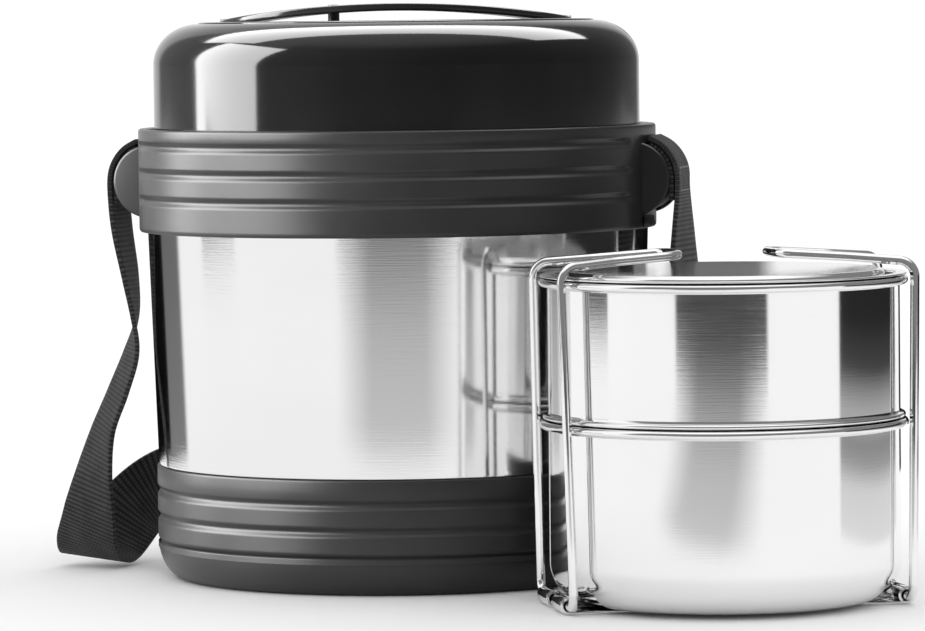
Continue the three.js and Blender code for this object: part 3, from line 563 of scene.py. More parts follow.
def webbing(name, width, length, dark, light):
    made = new_finish(name, Specular_IOR_Level=0.15, Sheen_Weight=0.08, Sheen_Roughness=0.5)
    spot = node(made, "ShaderNodeSeparateXYZ", {"Vector": node(made, "ShaderNodeTexCoord").outputs["UV"]})
    row = math_node(made, "MULTIPLY", spot.outputs["Y"], length / RIB_PITCH)
    column = math_node(made, "MULTIPLY", spot.outputs["X"], width / THREAD_PITCH)
    odd = math_node(made, "MULTIPLY", math_node(made, "FLOOR", row), 0.5)
    shifted = math_node(made, "ADD", column, odd)
    up = math_node(made, "PINGPONG", row, 0.5)
    side = math_node(made, "MAXIMUM", math_node(made, "PINGPONG", shifted, 0.5), 0.14)
    rounded_up, rounded_side = math_node(made, "POWER", up, 0.6), math_node(made, "POWER", side, 0.35)
    hump = math_node(made, "MULTIPLY", math_node(made, "MULTIPLY", rounded_up, rounded_side), 2.0)
    fuzz = noise(made, object_place(made), 2200, 3)
    uneven = noise(made, object_place(made), 120, 2)
    height = math_node(made, "ADD", hump, math_node(made, "MULTIPLY", fuzz, 0.25))
    # painted shade: the colour follows the weave's hump, darker in the gaps and lighter on the crests, with a
    # random tone from the broad noise
    shade = math_node(made, "MULTIPLY", height, math_node(made, "ADD", uneven, 0.45))
    drive(made, "Base Color", mixed_colour(made, shade, dark, light, 0.25, 1.0))
    drive(made, "Roughness", between(made, fuzz, 0.65, 0.9))
    drive(made, "Normal", relief(made, height, 0.00022))
    return made


STRAP_END_LENGTH = 25 * MM
# the dark end of the webbing colour is painted shade for the gaps between threads, not a darker thread
WEAVE_GAP_SHADE = (0.006, 0.006, 0.0065)
strap_webbing = webbing("strap_webbing", STRAP_WIDTH, strap_length, WEAVE_GAP_SHADE, (0.060, 0.060, 0.062))
# the sewn ends' webbing is a darker copy of the strap's: painted shade for where they lie under the strap
shaded_strap_end_webbing = webbing("shaded_strap_end_webbing", STRAP_WIDTH, STRAP_END_LENGTH, WEAVE_GAP_SHADE,
                            (0.050, 0.050, 0.052))
stitch_thread = new_finish("stitch_thread", Sheen_Weight=0.3, Roughness=0.7)
twist = noise(stitch_thread, object_place(stitch_thread), 3000, 2)
thread_colour = mixed_colour(stitch_thread, twist, (0.05, 0.05, 0.052), (0.09, 0.09, 0.092))
drive(stitch_thread, "Base Color", thread_colour)
drive(stitch_thread, "Normal", relief(stitch_thread, twist, 0.00005))
print("webbing covers", round(strap_length / MM), "mm of strap")

# %% [markdown]
# ## The strap and its sewn ends
# The strap is one laid strip with square selvedges. Round each block its end goes back under itself and
# is sewn down, so a second short strip lies below it, and rows of stitches cross the place.

# %% Strap
carry_strap = laid_strip("carry_webbing_strap", strap_stations, [STRAP_WIDTH / 2] * len(strap_stations),
                         STRAP_THICK)
complete(carry_strap, "casing", ["carry_strap"], strap_webbing, smooth=40)

ANCHOR_TURN = 11            # degrees, how far the blocks stand round from the sides
ANCHOR_TURNS = {"right": math.radians(-ANCHOR_TURN), "left": math.radians(180 - ANCHOR_TURN)}
ANCHOR_CENTRE_R = 78.2      # millimetres, as all sizes below
ANCHOR_Z = 126.0
DRUM_R = 10.7
COLLAR_R = 82.5
GAP = 0.3
STRAP_END_HANG = 7
WEB = STRAP_THICK / MM


def strap_end_stations(turn):
    """A sewn end's middle line: from the collar over the drum, then straight down."""
    radius = DRUM_R + GAP + WEB / 2
    start = math.acos((COLLAR_R + 2 * GAP - ANCHOR_CENTRE_R) / radius)
    flat = [(ANCHOR_CENTRE_R + radius * math.cos(start * (1 - i / 20)),
             ANCHOR_Z + radius * math.sin(start * (1 - i / 20))) for i in range(21)]
    flat += [(ANCHOR_CENTRE_R + radius, ANCHOR_Z - STRAP_END_HANG * k / 10) for k in range(1, 11)]
    outward = Vector((math.cos(turn), math.sin(turn), 0))
    width = Vector((-math.sin(turn), math.cos(turn), 0))
    return [(outward * r * MM + Vector((0, 0, z * MM)), width, outward) for r, z in flat]


end_stations = strap_end_stations(ANCHOR_TURNS["right"])
right_end = laid_strip("strap_sewn_end_right", end_stations, [(STRAP_WIDTH - MM) / 2] * len(end_stations),
                       STRAP_THICK)
strap_ends = [right_end, copied(right_end, "strap_sewn_end_left", turn=math.pi)]
for side, end in zip(ANCHOR_TURNS, strap_ends):
    complete(end, "casing", [f"strap_end_{side}"], shaded_strap_end_webbing, smooth=40)

# %% [markdown]
# ## Stitches
# Each stitch is a short thick thread that dips into the cloth at both ends. One is modelled as a
# sphere stretched across the strap and one as a sphere stretched along it, and copies lie in a box
# pattern on the outer face of the strap, over the drum. The left patch is the right one turned round.

# %% Stitches
STITCH_LONG = 2.6
STITCH_R = 0.34
STITCH_PROUD = 0.12                                 # how far a stitch's middle is out of the cloth
CROSS_ROWS = (3.2, -4.0)                            # heights from the drum's axis
CROSS_SPOTS = (-7.6, -4.6, -1.5, 1.5, 4.6, 7.6)     # places across the strap
EDGE_COLUMNS = (-9.0, 9.0)
EDGE_SPOTS = (2.2, -1.0, -3.2)


def stitch(lies_across):
    """One stitch, with its middle at the origin."""
    bpy.ops.object.select_all(action="DESELECT")
    bpy.ops.mesh.primitive_uv_sphere_add(segments=10, ring_count=6, radius=STITCH_R * MM)
    thread = begin("stitch")
    stretch = STITCH_LONG / (2 * STITCH_R)
    bpy.ops.transform.resize(value=(1, stretch, 1) if lies_across else (1, 1, stretch))
    bpy.ops.object.mode_set(mode="OBJECT")
    return thread


def stitch_patch(name, turn):
    """Copies of the two kinds of stitch on the strap's outer face, as one piece."""
    outward = Vector((math.cos(turn), math.sin(turn), 0))
    width = Vector((-math.sin(turn), math.cos(turn), 0))
    outside = DRUM_R + 2 * (GAP + WEB)
    spots = [(sideways, rise, True) for rise in CROSS_ROWS for sideways in CROSS_SPOTS]
    spots += [(sideways, rise, False) for sideways in EDGE_COLUMNS for rise in EDGE_SPOTS]
    kinds = {True: stitch(True), False: stitch(False)}
    made = []
    for sideways, rise, lies_across in spots:
        out = ANCHOR_CENTRE_R + math.sqrt(outside ** 2 - max(rise, 0) ** 2) + STITCH_PROUD
        spot = (outward * out + width * sideways + Vector((0, 0, ANCHOR_Z + rise))) * MM
        made.append(copied(kinds[lies_across], f"stitch_{len(made)}", spot, turn))
    for kind in kinds.values():
        bpy.data.objects.remove(kind)
    patch = join(*made)
    patch.name = name
    return patch


right_patch = stitch_patch("strap_stitches_right", ANCHOR_TURNS["right"])
stitches = [right_patch, copied(right_patch, "strap_stitches_left", turn=math.pi)]
for patch in stitches:
    complete(patch, "casing", [], stitch_thread, smooth=60)

# %% [markdown]
# ## The base moulding
# The base is a ribbed cup with a rounded foot. The ribs are what is left between three shallow
# grooves, so the outline carries the grooves and the spin does the rest.

# %% Base
GROOVE_DEPTH = 0.9
GROOVE_HALF = 1.75
BASE_R = 77.9
BASE_TOP = 36.1
BASE_GROOVES = (11.7, 20.0, 28.3)


def groove(radius, z):
    """A shallow round-lipped groove in a wall, going up."""
    points = []
    for i in range(13):
        t = -1 + i / 6
        depth = GROOVE_DEPTH * (0.5 + 0.5 * math.cos(math.pi * t)) ** 0.8
        points.append((radius - depth, z + t * GROOVE_HALF))
    return points


base_outline = [(0, 0)] + arc(BASE_R - 8, 13, 8, 13, -90, 0, 14)[:-1]
for z in BASE_GROOVES:
    base_outline += groove(BASE_R, z)
base_outline += eased([(BASE_R, 33, 0), (BASE_R, BASE_TOP, 1.0), (76.4, BASE_TOP, 0.2), (76.4, 42.1, 0.3),
                       (74.0, 42.1, 0.3), (74.0, 3, 2), (0, 3, 0)])
base = turned("base_moulding", base_outline)
complete(base, "casing", ["base_cup"], ribbed_grey_plastic)

# %% [markdown]
# ## The steel body
# One sheet is rolled round and seam-welded, then tapered slightly so it drops into the base. It is a
# wall of its real 0.6 mm, with a thin bright edge where it goes under the collar.

# %% Body
SHEET = 0.6
BODY_R = 79.8
BODY_FOOT_R = 77.3
BODY_FOOT = 36.4
BODY_TOP = 118.1
TAPER_END = 110.4
body_outline = [(BODY_FOOT_R - SHEET, BODY_FOOT), (BODY_FOOT_R, BODY_FOOT), (BODY_R, TAPER_END),
                (BODY_R, BODY_TOP), (BODY_R - SHEET, BODY_TOP), (BODY_R - SHEET, TAPER_END)]
body_outline = eased([(r, z, 0.1) for r, z in body_outline], 2)
body = turned("steel_body", body_outline, closed=True, steps=256)
complete(body, "casing", ["outer_shell"], brushed_body_steel)

# %% [markdown]
# ## The collar
# The collar is ribbed like the base, but its grooves stop short of the strap blocks, where the
# moulding keeps a smooth pad. The ring is spun with whole grooves, and then the groove's points near
# each block are moved back out, eased over the last few degrees so that every groove has a round end.
# Inside, three L-shaped slots take the lid's lugs: they are cut with turned sectors as tools.

# %% Collar
COLLAR_TOP = 143.0
COLLAR_FOOT = 110.4
MOUTH_R = 77.9
COLLAR_GROOVES = (120.7, 129.2, 137.7)
PAD_HALF = 17.5     # degrees of smooth pad on either side of a strap block
PAD_EASE = 2.0      # degrees over which a groove runs out
collar_outline = [(82.0, COLLAR_FOOT), (82.35, COLLAR_FOOT + 0.4), (COLLAR_R, COLLAR_FOOT + 1.2)]
for z in COLLAR_GROOVES:
    collar_outline += groove(COLLAR_R, z)
collar_outline += eased([
    (COLLAR_R, 141, 0), (COLLAR_R, COLLAR_TOP, 1.3), (MOUTH_R, COLLAR_TOP, 0.5), (MOUTH_R, 131.5, 0.4),
    (61.4, 131.5, 0.5), (61.4, 128.5, 0.4), (76.8, 128.5, 0.4), (76.8, 118.4, 0.4), (80.1, 118.4, 0.3),
    (80.1, COLLAR_FOOT, 0.3), (82.0, COLLAR_FOOT, 0)])
collar = turned("collar_moulding", collar_outline[:-1], closed=True, steps=360)
for vertex in collar.data.vertices:
    place = vertex.co / MM
    radius = math.hypot(place.x, place.y)
    if not 81.2 < radius < COLLAR_R or not 118 < place.z < 140:
        continue
    heading = math.degrees(math.atan2(place.y, place.x))
    nearest = min(abs((heading - pad + 180) % 360 - 180) for pad in (-ANCHOR_TURN, 180 - ANCHOR_TURN))
    share = min(max((PAD_HALF - nearest) / PAD_EASE, 0), 1)
    push = 1 + (COLLAR_R / radius - 1) * share ** 0.5
    vertex.co.x *= push
    vertex.co.y *= push

SLOT_LOW = (75, 133.7)
SLOT_R = 80.1
entry = ring_sector("slot_entry", SLOT_LOW, (SLOT_R, 144), 82.5, 15, 8)
run = ring_sector("slot_run", SLOT_LOW, (SLOT_R, 137.3), 52.5, 45, 22)
slots = [entry, run]
for turn in (120, 240):
    slots += [copied(tool, tool.name, turn=math.radians(turn)) for tool in (entry, run)]
carve(collar, *slots)
complete(collar, "casing", ["collar_ring"], ribbed_grey_plastic)

# %% [markdown]
# ## The strap blocks
# Each block is a drum between two half-round ears, grown out of the collar. They are cylinders laid on
# their side, softened with a bevel and cut away inside by the collar's own round, so that they end on
# its face. A small foot under the front ear guides the strap. The left block is the right one, copied
# and turned round.

# %% Strap blocks
EAR_R = 11.7
EAR_THICK = 2.4
EAR_INSIDE = STRAP_WIDTH / MM / 2 + 0.6
LYING_ALONG_Y = (math.pi / 2, 0, 0)


def ear(sideways):
    made = round_bar(EAR_R, EAR_THICK, (ANCHOR_CENTRE_R, sideways, ANCHOR_Z), LYING_ALONG_Y)
    soften(made, 0.8, 4, 40)
    return made


ear_place = EAR_INSIDE + EAR_THICK / 2
block_parts = [ear(-ear_place), ear(ear_place)]
block_parts.append(round_bar(DRUM_R, 2 * EAR_INSIDE + 1, (ANCHOR_CENTRE_R, 0, ANCHOR_Z), LYING_ALONG_Y))
block_parts.append(soft_box("strap_foot", (83.2, -(EAR_INSIDE + 0.9), 113.0), (3.6, 3.0, 3.2), 0.7))
for part in block_parts:
    carve(part, round_bar(COLLAR_R, 60, (0, 0, ANCHOR_Z), vertices=360))
right_block = join(*block_parts)
right_block.name = "strap_block_right"
left_block = copied(right_block, "strap_block_left", turn=ANCHOR_TURNS["left"])
right_block.rotation_euler.z = ANCHOR_TURNS["right"]
for side, block in zip(ANCHOR_TURNS, (right_block, left_block)):
    complete(block, "casing", [f"strap_anchor_{side}"], anchor_plastic)

# %% [markdown]
# ## The inner liner
# The liner is one deep-drawn steel cup with a flange that rests on the collar's shelf. It shows only
# when the lid is lifted off, so it is a plain turned wall with its real corner radius and thickness.

# %% Liner
LINER_R = 60.5
LINER_FLOOR = 21.6
LINER_CORNER = 6
LINER_MIDDLE = 80
FLANGE_R = 70.1
FLANGE_Z = 131.8
outside = LINER_R + SHEET
corner_r, corner_z = outside - LINER_CORNER, LINER_FLOOR + LINER_CORNER
inner_corner = LINER_CORNER - SHEET
liner_outline = [(0, LINER_FLOOR)] + arc(corner_r, corner_z, LINER_CORNER, LINER_CORNER, -90, 0, 10)
liner_outline += eased([
    (outside, LINER_MIDDLE, 0), (outside, FLANGE_Z, 0.6), (FLANGE_R, FLANGE_Z, 0.25),
    (FLANGE_R, FLANGE_Z + SHEET, 0.25), (LINER_R, FLANGE_Z + SHEET, 1.2), (LINER_R, LINER_MIDDLE, 0)])
liner_outline += arc(corner_r, corner_z, inner_corner, inner_corner, 0, -90, 10) + [(0, LINER_FLOOR + SHEET)]
liner = turned("inner_steel_liner", liner_outline)
complete(liner, "casing", ["inner_liner"], liner_steel)

for name in ("insulation_jacket", "lid_insulation"):
    foam_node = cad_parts[name]
    foam_node.data.materials.clear()
    foam_node.data.materials.append(insulating_foam)
print("the foam keeps the packed model's shape, as it is shut in on all sides")

# %% [markdown]
# ## The lid
# The lid is a polished dome: an upright wall, a rounded shoulder, a narrow raised rim and a shallow
# round recess for the handle. A thin groove under the rim catches a dark line. Inside the recess two
# posts hold the handle's pins, and three lugs stand out below.

# %% Lid
LID_R = 77.4
LID_TOP = 176.6
RECESS_R = 60.4
RECESS_Z = 174.0
HANDLE_Z = 175.9
SHOULDER = (62.9, 163.1)
lid_outline = [(0, 171.6), (RECESS_R, 171.6)] + arc(*SHOULDER, 12.1, 11.1, 85, 0, 16)
lid_outline += [(75.0, 134.2), (75.2, 134), (77.2, 134), (LID_R, 134.2), (LID_R, 143.4)]
lid_outline += arc(*SHOULDER, 14.5, 13.0, 0, 84, 26)
lid_outline += [(64.2, 176.0), (63.9, 175.75), (63.5, 175.72), (63.2, 175.9), (63.0, 176.3), (62.6, 176.52),
                (62.0, LID_TOP), (61.3, LID_TOP), (60.8, 176.4), (60.55, 176.0)]
lid_outline += eased([(60.5, 175.8, 0), (RECESS_R, RECESS_Z, 0.9), (0, RECESS_Z, 0)])
lid = turned("lid_dome", lid_outline, steps=256)

lug = ring_sector("lug", (76.2, 134), (79.5, 137), 84, 12, 10)
lugs = [lug] + [copied(lug, "lug", turn=math.radians(turn)) for turn in (120, 240)]
post = soft_box("post", (49.65, 0, 175.3), (3.5, 3.8, 5.0), 0.5)
join(lid, *lugs, post, copied(post, "post", turn=math.pi))
complete(lid, "lid", ["outer_lid"], gloss_lid_plastic)

# %% [markdown]
# ## Under the lid
# The steel plate that closes the lid from below is a shallow pan, faced on a lathe. The seal is a soft
# ring with two lips that sits in the mouth.

# %% Plate and seal
plate_outline = eased([(0, 139, 0), (74.7, 139, 1.2), (74.7, 147, 0.2), (74.1, 147, 0.2), (74.1, 139.6, 0.8),
                       (0, 139.6, 0)])
plate_outline = [(0, 139), (30, 139), (31, 139.25), (32, 139)] + plate_outline[1:]
plate = turned("lid_under_plate", plate_outline)
complete(plate, "lid", ["lid_inner_plate"], lid_plate_steel)

seal_outline = eased([(62.0, 135.2, 0), (62.0, 133.5, 0.3), (64.0, 132.7, 0.8), (66.0, 133.5, 0.3),
                      (66.0, 135.0, 0.2), (65.3, 135.4, 0.2), (65.3, 136.0, 0.2), (66.0, 136.4, 0.2),
                      (66.0, 138.7, 0.4), (62.0, 138.7, 0.4), (62.0, 136.4, 0.2), (62.7, 136.0, 0.2),
                      (62.7, 135.6, 0.2), (62.0, 135.2, 0)])
seal = turned("mouth_seal_ring", seal_outline[:-1], closed=True)
complete(seal, "seal", ["lid_seal"], seal_silicone)

# %% [markdown]
# ## The folding handle
# The handle is a half-oval strip that lies in the recess and rises a little in its middle. It could be
# bent from a bar with a curve modifier; laid out row by row it keeps the width that grows towards the
# grip. Each end has an eye for its pin, cut with a smaller cylinder.

# %% Handle
HANDLE_HALF_SPAN = 54
HANDLE_REACH = 40
HANDLE_CROWN = 4.8
HANDLE_THICK = 2.4
HANDLE_STEPS = 96
EYE_R = 1.7
BORE_R = 1.15
PIN_R = 1.0
PIN_X = 52.2


def handle_rise(x):
    return HANDLE_Z + HANDLE_CROWN * (1 - (x / HANDLE_HALF_SPAN) ** 2)


handle_stations, handle_half_widths = [], []
for i in range(HANDLE_STEPS + 1):
    a = math.radians(-90 + 180 * i / HANDLE_STEPS)
    x, y = HANDLE_HALF_SPAN * math.sin(a), -HANDLE_REACH * math.cos(a)
    across = Vector((HANDLE_REACH * math.sin(a), -HANDLE_HALF_SPAN * math.cos(a), 0)).normalized()
    handle_stations.append((Vector((x, y, handle_rise(x))) * MM, across, Vector((0, 0, 1))))
    handle_half_widths.append((4 + 5 * math.cos(a)) / 2 * MM)
handle = laid_strip("folding_carry_handle", handle_stations, handle_half_widths, HANDLE_THICK * MM,
                    columns=6, edge=0)
soften(handle, 0.85, 4, 60)


def lying_bar(radius, length, x):
    """A bar along X on the handle's pivot line."""
    return round_bar(radius, length, (x, 0, HANDLE_Z), (0, math.pi / 2, 0), vertices=48)


handle_parts = [handle]
for x in (HANDLE_HALF_SPAN, -HANDLE_HALF_SPAN):
    eye = lying_bar(EYE_R, 4, x)
    soften(eye, 0.4, 3, 40)
    handle_parts.append(eye)
for part in handle_parts:
    carve(part, lying_bar(BORE_R, 8, HANDLE_HALF_SPAN), lying_bar(BORE_R, 8, -HANDLE_HALF_SPAN))
join(*handle_parts)
complete(handle, "handle", ["carry_handle"], handle_plastic)

right_pin = lying_bar(PIN_R, 7.6, PIN_X)
right_pin.name = "hinge_pin_right"
soften(right_pin, 0.3, 3, 40)
left_pin = copied(right_pin, "hinge_pin_left", turn=math.pi)
complete(right_pin, "lid", ["handle_pin_right"], bright_wire)
complete(left_pin, "lid", ["handle_pin_left"], bright_wire)

# %% [markdown]
# ## The handle's catch
# A small nib beside the folded grip holds it down: the grip snaps past its rounded head.

# %% Catch
CATCH_R = 1.8
catch_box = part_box("handle_catch")
catch_middle = (catch_box[0] + catch_box[1]) / 2 / MM
catch_low, catch_high = catch_box[0].z / MM, catch_box[1].z / MM
catch_outline = eased([(0, catch_low, 0), (CATCH_R, catch_low, 0.1), (CATCH_R, catch_high, 0.7),
                       (0, catch_high, 0)])
catch = turned("handle_catch_nib", catch_outline, centre=(catch_middle.x, catch_middle.y), steps=48)
complete(catch, "lid", ["handle_catch"], anchor_plastic)

# %% [markdown]
# ## The lower container
# A deep-drawn cup with a generous bottom radius. Its rim is rolled outwards into a bead, so the edge is
# round and stiff. All container walls have their real 0.6 mm, inside and out.

# %% Lower container
WALL_R = 52.9
LOWER_FLOOR = 1.3
LOWER_CORNER = 12
LOWER_RIM = 56.2
UPPER_RIM = 98.9


def rolled_rim(top):
    """A rolled bead, going up the outside and back to the inside of the wall."""
    return ([(WALL_R, top - 2.9), (WALL_R + 0.25, top - 2.55)]
            + arc(WALL_R + 1.2, top - 1.3, 1.3, 1.3, -80, 90, 12)
            + [(WALL_R - 0.2, top), (WALL_R - 0.5, top - 0.15), (WALL_R - SHEET, top - 0.5)])


corner_r, corner_z = WALL_R - LOWER_CORNER, LOWER_FLOOR + LOWER_CORNER
inner_corner = LOWER_CORNER - SHEET
lower_outline = [(0, LOWER_FLOOR), (30, LOWER_FLOOR)]
lower_outline += arc(corner_r, corner_z, LOWER_CORNER, LOWER_CORNER, -90, 0, 20) + rolled_rim(LOWER_RIM)
lower_outline += arc(corner_r, corner_z, inner_corner, inner_corner, 0, -90, 20)
lower_outline += [(0, LOWER_FLOOR + SHEET)]
lower = turned("lower_steel_container", lower_outline, RACK_CENTRE)
complete(lower, "lower", ["lower_container"], spun_container_steel)

# %% [markdown]
# ## The upper container
# Its bottom is drawn in so that it drops into the mouth of the lower one, and a narrow foot bead rests
# on the lower rim. Two beads therefore lie one on the other at the seam.

# %% Upper container
UPPER_FLOOR = 52.6
UPPER_CORNER = 4
NEST_R = 48.0
corner_z = UPPER_FLOOR + UPPER_CORNER
inner_corner = UPPER_CORNER - SHEET
upper_outline = [(0, UPPER_FLOOR)] + arc(NEST_R, corner_z, UPPER_CORNER, UPPER_CORNER, -90, -25, 8)
upper_outline += [(51.95, 56.3), (52.3, 56.5), (53.6, 56.5)] + arc(53.7, 57.25, 0.8, 0.75, -80, 80, 8)
upper_outline += [(53.1, 58.15), (WALL_R, 58.6)] + rolled_rim(UPPER_RIM) + [(52.3, 58.6), (51.5, 57.2)]
upper_outline += arc(NEST_R, corner_z, inner_corner, inner_corner, -10, -90, 8) + [(0, UPPER_FLOOR + SHEET)]
upper = turned("upper_steel_container", upper_outline, RACK_CENTRE)
complete(upper, "upper", ["upper_container"], spun_container_steel)

# %% [markdown]
# ## The containers' lid
# The lid is pressed: a raised flat middle, a channel round it that plugs the mouth, and a thin flange
# on the rim. The middle is faced on a lathe, so its rings catch the light as a fan.

# %% Container lid
small_lid_outline = eased([
    (0, 100.4, 0), (47.0, 100.4, 1.0), (48.0, 95.8, 0.5), (48.0, 94.8, 0.4), (52.0, 94.8, 0.5),
    (52.0, 99.2, 0.4), (54.7, 99.2, 0.2), (55.0, 99.35, 0.15), (55.0, 99.7, 0.15), (54.7, 99.8, 0.2),
    (51.4, 99.8, 0.9), (51.4, 95.4, 0.5), (48.6, 95.4, 0.5), (48.5, 99.9, 0.6), (47.4, 101.0, 0.9),
    (46.2, 101.0, 0.3), (0, 101.0, 0)])
small_lid = turned("container_lid_pressed", small_lid_outline, RACK_CENTRE)
complete(small_lid, "small_lid", ["container_lid"], faced_lid_steel)

# %% [markdown]
# ## The strip under the containers
# A flat steel strip carries the stack. Each end is curled up into two knuckles, which are the hinges of
# the wire clips. The curl is drawn as one line seen from the side and pulled out to the strip's width;
# the faces between the knuckles are deleted, and the rest is given its thickness.

# %% Base strip
RACK_TURN = math.radians(10.8)
CLIP_FOOT_R = 51.789
PIVOT_Z = 2.7
STRIP_HALF = 17
KNUCKLE_GAP = 7


def place_in_rack(piece):
    """Turns a piece that was made round the origin and moves it to the rack's place."""
    piece.matrix_world = (Matrix.Translation(Vector((*RACK_CENTRE, 0)) * MM)
                          @ Matrix.Rotation(RACK_TURN, 4, "Z") @ piece.matrix_world)
    settle(piece)


FLAT_END = 47.1
FLAT_Z = 0.5
STRIP_SHEET = 0.98
CURL_R = 2.2
curl = arc(CLIP_FOOT_R, PIVOT_Z, CURL_R, CURL_R, -90, 232, 26)
strip_line = [(-x, z) for x, z in reversed(curl)]
strip_line += [(-FLAT_END, FLAT_Z), (0, FLAT_Z), (FLAT_END, FLAT_Z)] + curl
strip = drawn_line("rack_base_strip", strip_line, -STRIP_HALF)
knuckle = STRIP_HALF - KNUCKLE_GAP / 2
for step in (knuckle, KNUCKLE_GAP, knuckle):
    bpy.ops.mesh.extrude_region_move(TRANSFORM_OT_translate={"value": (0, step * MM, 0)})
tidy_edit()
for face in strip.data.polygons:
    face.select = abs(face.center.y) < KNUCKLE_GAP / 2 * MM and abs(face.center.x) > FLAT_END * MM
bpy.ops.object.mode_set(mode="EDIT")
bpy.ops.mesh.delete(type="FACE")
tidy_edit()
apply_modifier(strip, "SOLIDIFY", thickness=STRIP_SHEET * MM, offset=0)
soften(strip, 0.2, 2, 50)
place_in_rack(strip)
complete(strip, "rack", ["base_strip"], rolled_strip_steel)

# %% [markdown]
# ## The wire clips
# Each clip is one bent wire: its foot turns in the two knuckles, its uprights climb just outside the
# rims, and its loop lies over the lid and springs up a little at the tip. A curve with a round bevel is
# the natural tool for wire. Its corners are rounded first, and then the curve is made a mesh. The
# right clip is the left one, copied and turned round before both go to the rack's place.

# %% Wire clips
WIRE_R = 1.4
LOOP_Z = 103.0
CLIP_HALF_FOOT = 24
CLIP_HALF_TOP = 20.5
CLIP_TOP_R = 53.989
LOOP_HALF = 13
LOOP_TIP = 15
LOOP_RISE = 2.8


def rounded_route(corners, steps=12):
    """Points along straight runs, with each corner (place, radius) rounded to its radius."""
    points = []
    for i, (corner, radius) in enumerate(corners):
        if radius == 0:
            points.append(corner)
            continue
        back = (corners[i - 1][0] - corner).normalized()
        on = (corners[(i + 1) % len(corners)][0] - corner).normalized()
        half = back.angle(on) / 2
        centre = corner + (back + on).normalized() * (radius / math.sin(half))
        start = corner + back * (radius / math.tan(half)) - centre
        end = corner + on * (radius / math.tan(half)) - centre
        swing = start.angle(end)
        for k in range(steps + 1):
            t = k / steps
            spoke = (start * math.sin((1 - t) * swing) + end * math.sin(t * swing)) / math.sin(swing)
            points.append(centre + spoke)
    return points


def wire_clip(name):
    """The left-hand clip, standing as if the rack's axis were at the origin."""
    half = [((CLIP_FOOT_R, 0, PIVOT_Z), 0), ((CLIP_FOOT_R, CLIP_HALF_FOOT, PIVOT_Z), 4),
            ((CLIP_TOP_R, CLIP_HALF_TOP, LOOP_Z), 5),
            ((LOOP_TIP + LOOP_HALF * 1.6, LOOP_HALF, LOOP_Z + LOOP_RISE / 2), 14),
            ((LOOP_TIP, LOOP_HALF * 0.8, LOOP_Z + LOOP_RISE), 7)]
    half = [(Vector((-x, y, z)), radius) for (x, y, z), radius in half]
    mirrored = [(Vector((p.x, -p.y, p.z)), radius) for p, radius in half[:0:-1]]
    points = rounded_route(half + mirrored)
    bpy.ops.object.select_all(action="DESELECT")
    bpy.ops.curve.primitive_nurbs_path_add()
    wire = bpy.context.object
    wire.name = name
    wire.data.splines.clear()
    line = wire.data.splines.new("POLY")
    line.points.add(len(points) - 1)
    for spot, point in zip(line.points, points):
        spot.co = (*(point * MM), 1)
    line.use_cyclic_u = True
    wire.data.bevel_depth = WIRE_R * MM
    wire.data.bevel_resolution = 6
    bpy.ops.object.convert(target="MESH")
    return wire


left_clip = wire_clip("wire_clip_bent_left")
right_clip = copied(left_clip, "wire_clip_bent_right", turn=math.pi)
for side, clip in (("left", left_clip), ("right", right_clip)):
    place_in_rack(clip)
    complete(clip, f"clip_{side}", [f"wire_clip_{side}"], bright_wire, smooth=60)

# %% [markdown]
# ## The floor
# A wide pale matt plane, so that it stays white to its edge and takes only soft shadows.

# %% Floor
bpy.ops.object.select_all(action="DESELECT")
bpy.ops.mesh.primitive_plane_add(size=12)
floor = bpy.context.object
floor.name = "studio_floor"
pale_floor = new_finish("pale_floor", Base_Color=(0.9, 0.9, 0.9, 1), Roughness=0.8, Specular_IOR_Level=0.1)
floor.data.materials.append(pale_floor)
print("the floor is", round(floor.dimensions.x), "m wide")

# %% [markdown]
# ## The white room
# Polished steel shows nothing but the room it stands in. A studio has white walls with darker gaps, which
# draw a round pot's edges. Real walls would also shade the floor, so the sky stands in for them and
# answers each kind of ray in its own way: mirrored rays see walls in bands round the horizon and a
# bright ceiling, the camera sees plain white, and all other rays meet an even light.

# %% Sky
# each band's heading from the front in degrees, and its brightness
BANDS = [(-180, 1.0), (-153, 1.0), (-148, 0.30), (-113, 0.34), (-107, 1.1), (-72, 1.1), (-62, 0.26),
         (-40, 0.22), (160, 0.22), (167, 0.8), (180, 1.0)]
CEILING = 1.35
CEILING_FROM, CEILING_WHOLE = 0.72, 0.92        # upward part of a ray's direction
ROOM_LIGHT = 1.19
SEEN_WHITE = 1.05
sky = bpy.data.worlds.new("white_room")
bpy.context.scene.world = sky
sky.use_nodes = True
sky.node_tree.nodes.clear()

ray = node(sky, "ShaderNodeTexCoord").outputs["Generated"]
direction = node(sky, "ShaderNodeSeparateXYZ", {"Vector": ray})
toward = math_node(sky, "MULTIPLY", direction.outputs["Y"], -1.0)
heading = math_node(sky, "ARCTAN2", direction.outputs["X"], toward)
share = between(sky, heading, 0, 1, -math.pi, math.pi)
walls = ramp_colour(sky, share, [((degrees + 180) / 360, grey(value)) for degrees, value in BANDS])
overhead = between(sky, direction.outputs["Z"], 0, 1, CEILING_FROM, CEILING_WHOLE)
mixed = node(sky, "ShaderNodeMixRGB", {"Fac": overhead, "Color1": walls, "Color2": (*grey(CEILING), 1)})
ways = node(sky, "ShaderNodeLightPath")
mirrored_room = node(sky, "ShaderNodeBackground", {"Color": mixed.outputs["Color"], "Strength": 1.0})
even_light = node(sky, "ShaderNodeBackground", {"Color": (1, 1, 1, 1), "Strength": ROOM_LIGHT})
seen_light = node(sky, "ShaderNodeBackground", {"Color": (1, 1, 1, 1), "Strength": SEEN_WHITE})
lit = node(sky, "ShaderNodeMixShader", {
    0: ways.outputs["Is Glossy Ray"], 1: even_light.outputs[0], 2: mirrored_room.outputs[0]})
